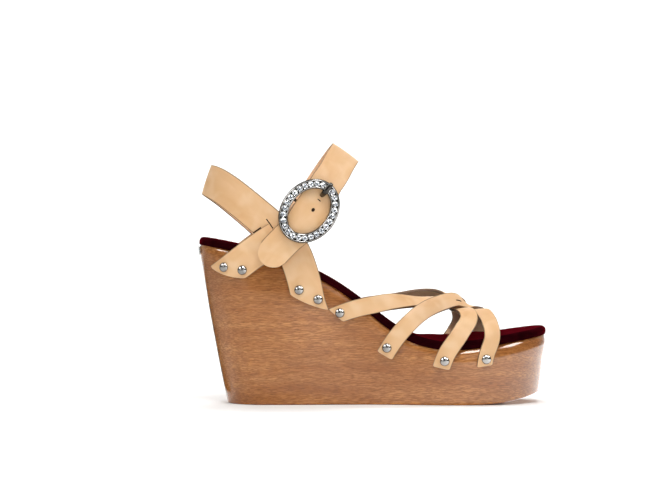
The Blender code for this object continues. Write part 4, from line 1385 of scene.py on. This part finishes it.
class SANDAL_OT_toe_straps(bpy.types.Operator):
    """Make the straps that cross over the toes"""

    bl_idname = "sandal.make_toe_straps"
    bl_label = "Toe straps"

    def execute(self, context):
        toe_seats = (SEAT_TOE, SEAT_TOE)
        ends = (slanted(0.0), slanted(0.0))
        front_ends = (slanted(0.0), slanted(TOE_FRONT_CUT))
        arch_ends = (slanted(TOE_ARCH_CUT), slanted(TOE_ARCH_CUT))
        rear_seats = (SEAT_TOE_REAR, SEAT_TOE_REAR)
        rear_ends = (slanted(TOE_REAR_CUT), slanted(TOE_REAR_CUT))
        ball, toes = on_inner_side(TOE_CROSS_BALL, BALL_FURTHER), on_inner_side(TOE_CROSS_TOES, TOES_FURTHER)
        under = ball + TOE_CROSSING_UNDER + across_foot(TOE_CROSS_TOES)
        over = across_foot(TOE_CROSS_BALL) + TOE_CROSSING_OVER + toes
        rear = TOE_REAR_OUTER + TOE_REAR_MIDDLE + on_inner_side(TOE_REAR_INNER, REAR_FURTHER)
        arch = TOE_ARCH_HALF[:-1] + on_inner_side(across_foot(TOE_ARCH_HALF), ARCH_FURTHER)[::-1]
        patterns = (
            ("toe_strap_under", under, RIDGE_CROSSING, toe_seats, front_ends, TOE_STRAP_END_WIDTH),
            ("toe_strap_over", over, RIDGE_CROSSING, toe_seats, ends, TOE_STRAP_END_WIDTH),
            ("toe_strap_rear", rear, RIDGE_REAR, rear_seats, rear_ends, TOE_STRAP_WIDTH),
            ("toe_strap_arch", arch, RIDGE_ARCH, toe_seats, arch_ends, TOE_STRAP_WIDTH),
        )
        for name, rows, ridge, seats, trims, end_width in patterns:
            strap = Strap(rows, TOE_STRAP_WIDTH, toe_normal(ridge), seats, trims, end_width=end_width)
            slits = (slit_cutter(strap, *TOE_SLIT),) if name == "toe_strap_over" else ()
            hand_over(leather_strap(name, strap, TOE_CELLS, cutters=slits), "tan_leather", "toe_straps")
        return {"FINISHED"}


class SANDAL_OT_ankle_straps(bpy.types.Operator):
    """Make the heel strap, the ankle strap and the buckle strap"""

    bl_idname = "sandal.make_ankle_straps"
    bl_label = "Ankle straps"

    def execute(self, context):
        leg_rows = BUCKLE_STRAP_LEG + tuple(buckle_line(BAR_LOOP))
        leg_length = through_rows(BUCKLE_STRAP_LEG + tuple(buckle_line(BAR_LOOP[:1])))[1]
        base = leg_rows, ANKLE_WIDTH, ankle_normal, (SEAT_REAR_LEG, NO_SEAT)
        loop = {"loop_from": leg_length, "end_width": BUCKLE_END_WIDTH}
        untrimmed = Strap(*base, (square, square), **loop)

        def leg_slit(lengths, half_width, across, depth=SLIT_DEPTH):
            shares = [at / untrimmed.length for at in lengths]
            return slit_cutter(untrimmed, shares, half_width, across, depth)

        heel_rows = HEEL_STRAP_HALF + across_foot(HEEL_STRAP_HALF)[-2::-1]
        leg_cuts = (slanted(-FRONT_LEG_CUT), slanted(-FRONT_LEG_CUT))
        leg_seats = SEAT_FRONT_LEG, SEAT_FRONT_LEG
        back = (np.array(HEEL_STRAP_HALF[-1]), *HEEL_BACK_SWELL)
        heel = Strap(heel_rows, HEEL_STRAP_WIDTH, ankle_normal, leg_seats, leg_cuts, swell=back)
        # The second cutter is a thin groove under the buckle strap's upper edge; its dark walls are painted
        # shadow on the heel strap
        slits = leg_slit(*LEG_SLIT), leg_slit(*LEG_EDGE_SHADOW_GROOVE, EDGE_SHADOW_GROOVE_DEPTH)
        pieces = [leather_strap("heel_strap", heel, HEEL_CELLS, cutters=slits)]

        rows = across_foot(REAR_LEG) + ANKLE_STRAP_INNER + ANKLE_STRAP_FRONT + ANKLE_STRAP_TAIL
        trims = (slanted(-REAR_LEG_CUT, REAR_LEG_BULGE), rounded(ANKLE_WIDTH))
        swell = (buckle_point(0.0, 0.0, BUCKLE_BACK_Y + 1.5), *TAIL_SWELL)
        ankle = Strap(rows, ANKLE_WIDTH, ankle_normal, (SEAT_REAR_LEG, NO_SEAT), trims, swell=swell)
        holes = []
        for along, across, half_along, half_across, bottom in TAIL_HOLES:
            reach = (along - half_along, along + half_along), (across - half_across, across + half_across)
            holes.append(block_cutter(*reach, (BUCKLE_BACK_Y - 1, bottom), 12))
        pieces.append(leather_strap("ankle_strap", ankle, ANKLE_CELLS, cutters=holes))

        buckle = Strap(*base, (slanted(REAR_LEG_CUT, REAR_LEG_BULGE), square), **loop)
        first, last, half = PRONG_SLOT
        slot = block_cutter((first, last), (-half, half), (BUCKLE_BACK_Y + 1, BAR_Y + 4))
        spread = (1 - LOOP_CELL_SHARE, leg_length / buckle.length)
        cutters = slot, leg_slit(*LEG_SLIT)
        pieces.append(leather_strap("buckle_strap", buckle, BUCKLE_CELLS, spread, cutters))
        for piece in pieces:
            hand_over(piece, "tan_leather", "ankle_straps")
        return {"FINISHED"}


class SANDAL_OT_buckle(bpy.types.Operator):
    """Make the buckle's frame, bar and prong"""

    bl_idname = "sandal.make_buckle"
    bl_label = "Buckle"

    def execute(self, context):
        # The band is plain metal; the base and the channel are near black as painted shadow and shade
        for name, section, plate in (
            ("buckle_band", BUCKLE_SECTION, "dark nickel"),
            ("buckle_channel", BUCKLE_CHANNEL, "shade-painted nickel"),
            ("buckle_base", BUCKLE_BASE, "shade-painted nickel"),
        ):
            rings = []
            for i in range(BUCKLE_SEGMENTS):
                turn = 2 * math.pi * i / BUCKLE_SEGMENTS
                ring = [(*frame_point(turn, reach), BUCKLE_BACK_Y - height) for reach, height in section]
                rings.append([buckle_point(*point) for point in ring])
            hand_over(loft(name, rings, (plate,), closed=True, smooth_angle=55), "nickel", "buckle_frame")

        half = [buckle_point(0.0, across, y) for across, y in BAR_HALF]
        other = [buckle_point(0.0, -across, y) for across, y in reversed(BAR_HALF)]
        curve, length = through_rows(half + other)
        bar = self.wire("buckle_bar", curve, length, lambda _: (BAR_RADIUS, BAR_RADIUS))
        hand_over(bar, "nickel", "buckle_frame")

        rows = [buckle_point(along, 0.0, y) for along, y, _, _ in PRONG_LINE]
        curve, length = through_rows(rows)
        shares = lengths_along(rows)
        shares /= shares[-1]
        widths = natural_spline(shares, [row[2:] for row in PRONG_LINE])
        prong = self.wire("buckle_prong_pin", curve, length, widths)
        hand_over(prong, "nickel", "buckle_prong")
        return {"FINISHED"}

    @staticmethod
    def wire(name, curve, length, half_sizes):
        """A wire along a curve in the buckle, with half its width and thickness at a share of its length."""
        across = unit(buckle_point(0.0, 1.0, 0.0) - buckle_point(0.0, 0.0, 0.0))
        rings = []
        for i in range(WIRE_STEPS + 1):
            share = i / WIRE_STEPS
            at = length * share
            point = curve(at)
            ahead = unit(curve(min(at + WIRE_REACH, length)) - curve(max(at - WIRE_REACH, 0.0)))
            level = across - np.dot(across, ahead) * ahead
            if np.linalg.norm(level) < WIRE_LEAST_ACROSS:
                level = np.array([0.0, 1.0, 0.0]) - ahead[1] * ahead
            level = unit(level)
            rise = np.cross(ahead, level)
            half_width, half_thickness = half_sizes(share)
            ring = []
            for side in range(WIRE_SIDES):
                angle = 2 * math.pi * side / WIRE_SIDES
                ring.append(
                    point + level * half_width * math.cos(angle) + rise * half_thickness * math.sin(angle)
                )
            rings.append(ring)
        # Bar and prong are near black as metal in painted shade
        return loft(name, rings, ("shade-painted nickel",), smooth_angle=60)


class SANDAL_OT_stones(bpy.types.Operator):
    """Set the cut stones in their round settings on the buckle"""

    bl_idname = "sandal.make_stones"
    bl_label = "Stones"

    def execute(self, context):
        sizes = context.scene.sandal_sizes
        turns = np.linspace(0.0, 2 * math.pi, STONE_LINE_STEPS + 1)
        line = np.array([frame_point(turn, BUCKLE_BAND / 2) for turn in turns])
        lengths = lengths_along(line)
        seats = []
        for i in range(STONE_COUNT):
            share = STONE_OPEN_SHARE + (1 - 2 * STONE_OPEN_SHARE) * i / (STONE_COUNT - 1)
            turn = np.interp(share * lengths[-1], lengths, turns)
            point = buckle_point(*frame_point(turn, BUCKLE_BAND / 2), BUCKLE_BACK_Y - STONE_SEAT)
            seats.append((point, (0.0, -1.0, 0.0), turn))
        stones = set_on_points("cut_stones", seats, self.cut_stone(sizes.stone_radius / MM), "crystal", 5)
        nodes = [f"stone_{i + 1:02d}" for i in range(STONE_COUNT)]
        hand_over(stones, "crystal", *nodes)
        radius = sizes.bezel_radius / MM
        profile = [(radius + further, height) for further, height in SETTING_PROFILE]
        pattern = turned_pattern("setting", profile, SETTING_SIDES)
        rims = set_on_points("stone_settings", seats, pattern, "nickel", 50)
        hand_over(rims, "nickel", "buckle_frame")
        return {"FINISHED"}

    @staticmethod
    def cut_stone(radius):
        """A round brilliant: the hull of its table, star and girdle points."""
        bm = bmesh.new()
        for count, turn, share, height in STONE_LEVELS:
            for i in range(count):
                angle = 2 * math.pi * (i + turn) / count
                reach = radius * share * MM
                bm.verts.new((reach * math.cos(angle), reach * math.sin(angle), height * MM))
        bmesh.ops.convex_hull(bm, input=bm.verts[:])
        return mesh_object("stone", bm, (), 5)


class SANDAL_OT_studs(bpy.types.Operator):
    """Set the dome-headed studs on the strap ends"""

    bl_idname = "sandal.make_studs"
    bl_label = "Studs"

    def execute(self, context):
        sizes = context.scene.sandal_sizes
        radius, height = sizes.stud_radius / MM, sizes.stud_height / MM
        profile = [(0.0, height)]
        for i in range(1, STUD_DOME_STEPS + 1):
            angle = math.pi / 2 * i / STUD_DOME_STEPS
            profile.append((radius * math.sin(angle), height * math.cos(angle)))
        profile += [(radius - STUD_RIM, STUD_UNDERSIDE), (STUD_SHANK_RADIUS, STUD_UNDERSIDE)]
        profile += [(STUD_SHANK_RADIUS, -STUD_SHANK), (0.0, -STUD_SHANK)]
        seats = []
        nodes = []
        for label, x, z, shift in STUDS:
            for side, foot_side in ((OUTER, "outer"), (INNER, "inner")):
                place = stud_x(x, z, side, shift)
                normal = wood_normal(place, z, side)
                point = np.array([place, wood_side(place, z, side), z]) + normal * (SEAT_GAP + GAP + LEATHER)
                seats.append((point, normal, 0.0))
                nodes.append(f"stud_{label}_{foot_side}")
        pattern = turned_pattern("stud", profile, sizes.stud_sides)
        hand_over(set_on_points("dome_studs", seats, pattern, "dark nickel", 45), "nickel", *nodes)
        return {"FINISHED"}


class SANDAL_OT_heel_plate(bpy.types.Operator):
    """Make the plain metal plate on the back of the heel"""

    bl_idname = "sandal.make_heel_plate"
    bl_label = "Heel plate"

    def execute(self, context):
        bm = bmesh.new()
        bmesh.ops.create_grid(bm, x_segments=PLATE_CELLS[0], y_segments=PLATE_CELLS[1], size=1.0)
        for vert in bm.verts:
            z = (PLATE_LOW + PLATE_HIGH) / 2 + (PLATE_HIGH - PLATE_LOW) / 2 * vert.co.x
            y = vert.co.y * PLATE_HALF_WIDTH
            rise = z / footbed(HEEL_X)
            back = HEEL_X + floor_shift(0.0) * (1 - rise) ** BACK_CURVE
            bend = HEEL_ROUND * (1 - math.sqrt(1 - (y / plan_half(0.0)) ** 2))
            vert.co = Vector((back + bend - SEAT_GAP - PLATE_THICKNESS / 2, y, z)) * MM
        bm.normal_update()
        plate = mesh_object("plain_heel_plate", bm, ("nickel",))
        add_modifier(plate, "thickness", "SOLIDIFY", thickness=PLATE_THICKNESS * MM, offset=0.0)
        soften(plate, PLATE_EDGE * MM)
        hand_over(made_plain(plate, 40), "nickel", "heel_plate")
        return {"FINISHED"}


class SANDAL_OT_stage(bpy.types.Operator):
    """Make the paper floor, the lights and the camera"""

    bl_idname = "sandal.make_stage"
    bl_label = "Stage"

    def execute(self, context):
        self.paper()
        self.cards()
        self.soft_boxes()
        self.room(context.scene)
        self.photo_camera(context.scene)
        return {"FINISHED"}

    @staticmethod
    def paper():
        """Paper that lies flat and then bends up behind the shoe."""
        bm = bmesh.new()
        profile = [(PAPER_NEAR, 0.0), (PAPER_BEND_FROM, 0.0)]
        for i in range(1, PAPER_BEND_STEPS + 1):
            angle = math.pi / 2 * i / PAPER_BEND_STEPS
            y = PAPER_BEND_FROM + PAPER_BEND * math.sin(angle)
            profile.append((y, PAPER_BEND * (1 - math.cos(angle))))
        profile.append((PAPER_BEND_FROM + PAPER_BEND, PAPER_TOP))
        edges = -PAPER_HALF_WIDTH, PAPER_HALF_WIDTH
        rows = [[bm.verts.new((x, y, z)) for x in edges] for y, z in profile]
        for low, high in zip(rows, rows[1:]):
            bm.faces.new((low[0], low[1], high[1], high[0]))
        mesh_object("paper_sweep", bm, ("paper",), 60)

    @staticmethod
    def cards():
        """Cards and panels for the lacquer and the metal to mirror."""
        for name, material, (left, right), (near, far), z in CARDS:
            bm = bmesh.new()
            corners = ((left, near), (right, near), (right, far), (left, far))
            bm.faces.new([bm.verts.new((x, y, z)) for x, y in corners])
            card = mesh_object(name, bm, (material,))
            card.visible_camera = card.visible_diffuse = card.visible_shadow = False

    @staticmethod
    def soft_boxes():
        """Lamps with wide soft fronts."""
        for i, (place, target, width, height, power, mirrored) in enumerate(SOFT_BOXES):
            light = bpy.data.lights.new(f"soft box {i + 1}", "AREA")
            light.shape = "RECTANGLE"
            light.size, light.size_y = width, height
            light.energy = power
            lamp = show(bpy.data.objects.new(light.name, light))
            lamp.location = place
            lamp.visible_glossy = mirrored
            lamp.visible_camera = False
            lamp.rotation_euler = (Vector(target) - Vector(place)).to_track_quat("-Z", "Y").to_euler()

    @staticmethod
    def room(scene):
        """Even light from all round."""
        world = bpy.data.worlds.new("studio")
        world.use_nodes = True
        room = world.node_tree.nodes["Background"].inputs
        room["Color"].default_value = (1.0, 1.0, 1.0, 1.0)
        room["Strength"].default_value = ROOM_LIGHT
        scene.world = world

    @staticmethod
    def photo_camera(scene):
        """The camera of the photo: level, and turned a little towards the toe."""
        sizes = scene.sandal_sizes
        camera = show(bpy.data.objects.new("photo camera", bpy.data.cameras.new("photo camera")))
        camera.data.sensor_width = SENSOR_WIDTH
        camera.data.lens = sizes.lens
        camera.data.clip_start = 0.05
        ahead = Vector((math.sin(sizes.camera_yaw), math.cos(sizes.camera_yaw), 0.0))
        camera.location = Vector(VIEW_CENTRE) * MM - ahead * sizes.camera_distance
        camera.rotation_euler = (math.pi / 2, 0.0, -sizes.camera_yaw)
        scene.camera = camera
        scene.view_settings.view_transform = "Standard"


class SANDAL_PT_panel(bpy.types.Panel):
    """Sizes, colours and pieces of the sandal"""

    bl_idname = "SANDAL_PT_panel"
    bl_label = "Strappy wedge sandal"
    bl_space_type = "VIEW_3D"
    bl_region_type = "UI"
    bl_category = "Sandal"

    def draw(self, context):
        for group in (context.scene.sandal_sizes, context.scene.sandal_look):
            for name in group.__annotations__:
                self.layout.prop(group, name)
        for operator in OPERATORS:
            self.layout.operator(operator.bl_idname)


OPERATORS = (
    SANDAL_OT_wedge,
    SANDAL_OT_insole,
    SANDAL_OT_toe_straps,
    SANDAL_OT_ankle_straps,
    SANDAL_OT_buckle,
    SANDAL_OT_stones,
    SANDAL_OT_studs,
    SANDAL_OT_heel_plate,
    SANDAL_OT_stage,
)
CLASSES = (SandalSizes, SandalLook, *OPERATORS, SANDAL_PT_panel)


def register():
    for kind in CLASSES:
        bpy.utils.register_class(kind)
    bpy.types.Scene.sandal_sizes = PointerProperty(type=SandalSizes)
    bpy.types.Scene.sandal_look = PointerProperty(type=SandalLook)


def unregister():
    del bpy.types.Scene.sandal_look
    del bpy.types.Scene.sandal_sizes
    for kind in reversed(CLASSES):
        bpy.utils.unregister_class(kind)


def main():
    register()
    for operator in OPERATORS:
        group, name = operator.bl_idname.split(".")
        getattr(getattr(bpy.ops, group), name)()


if __name__ == "__main__":
    main()
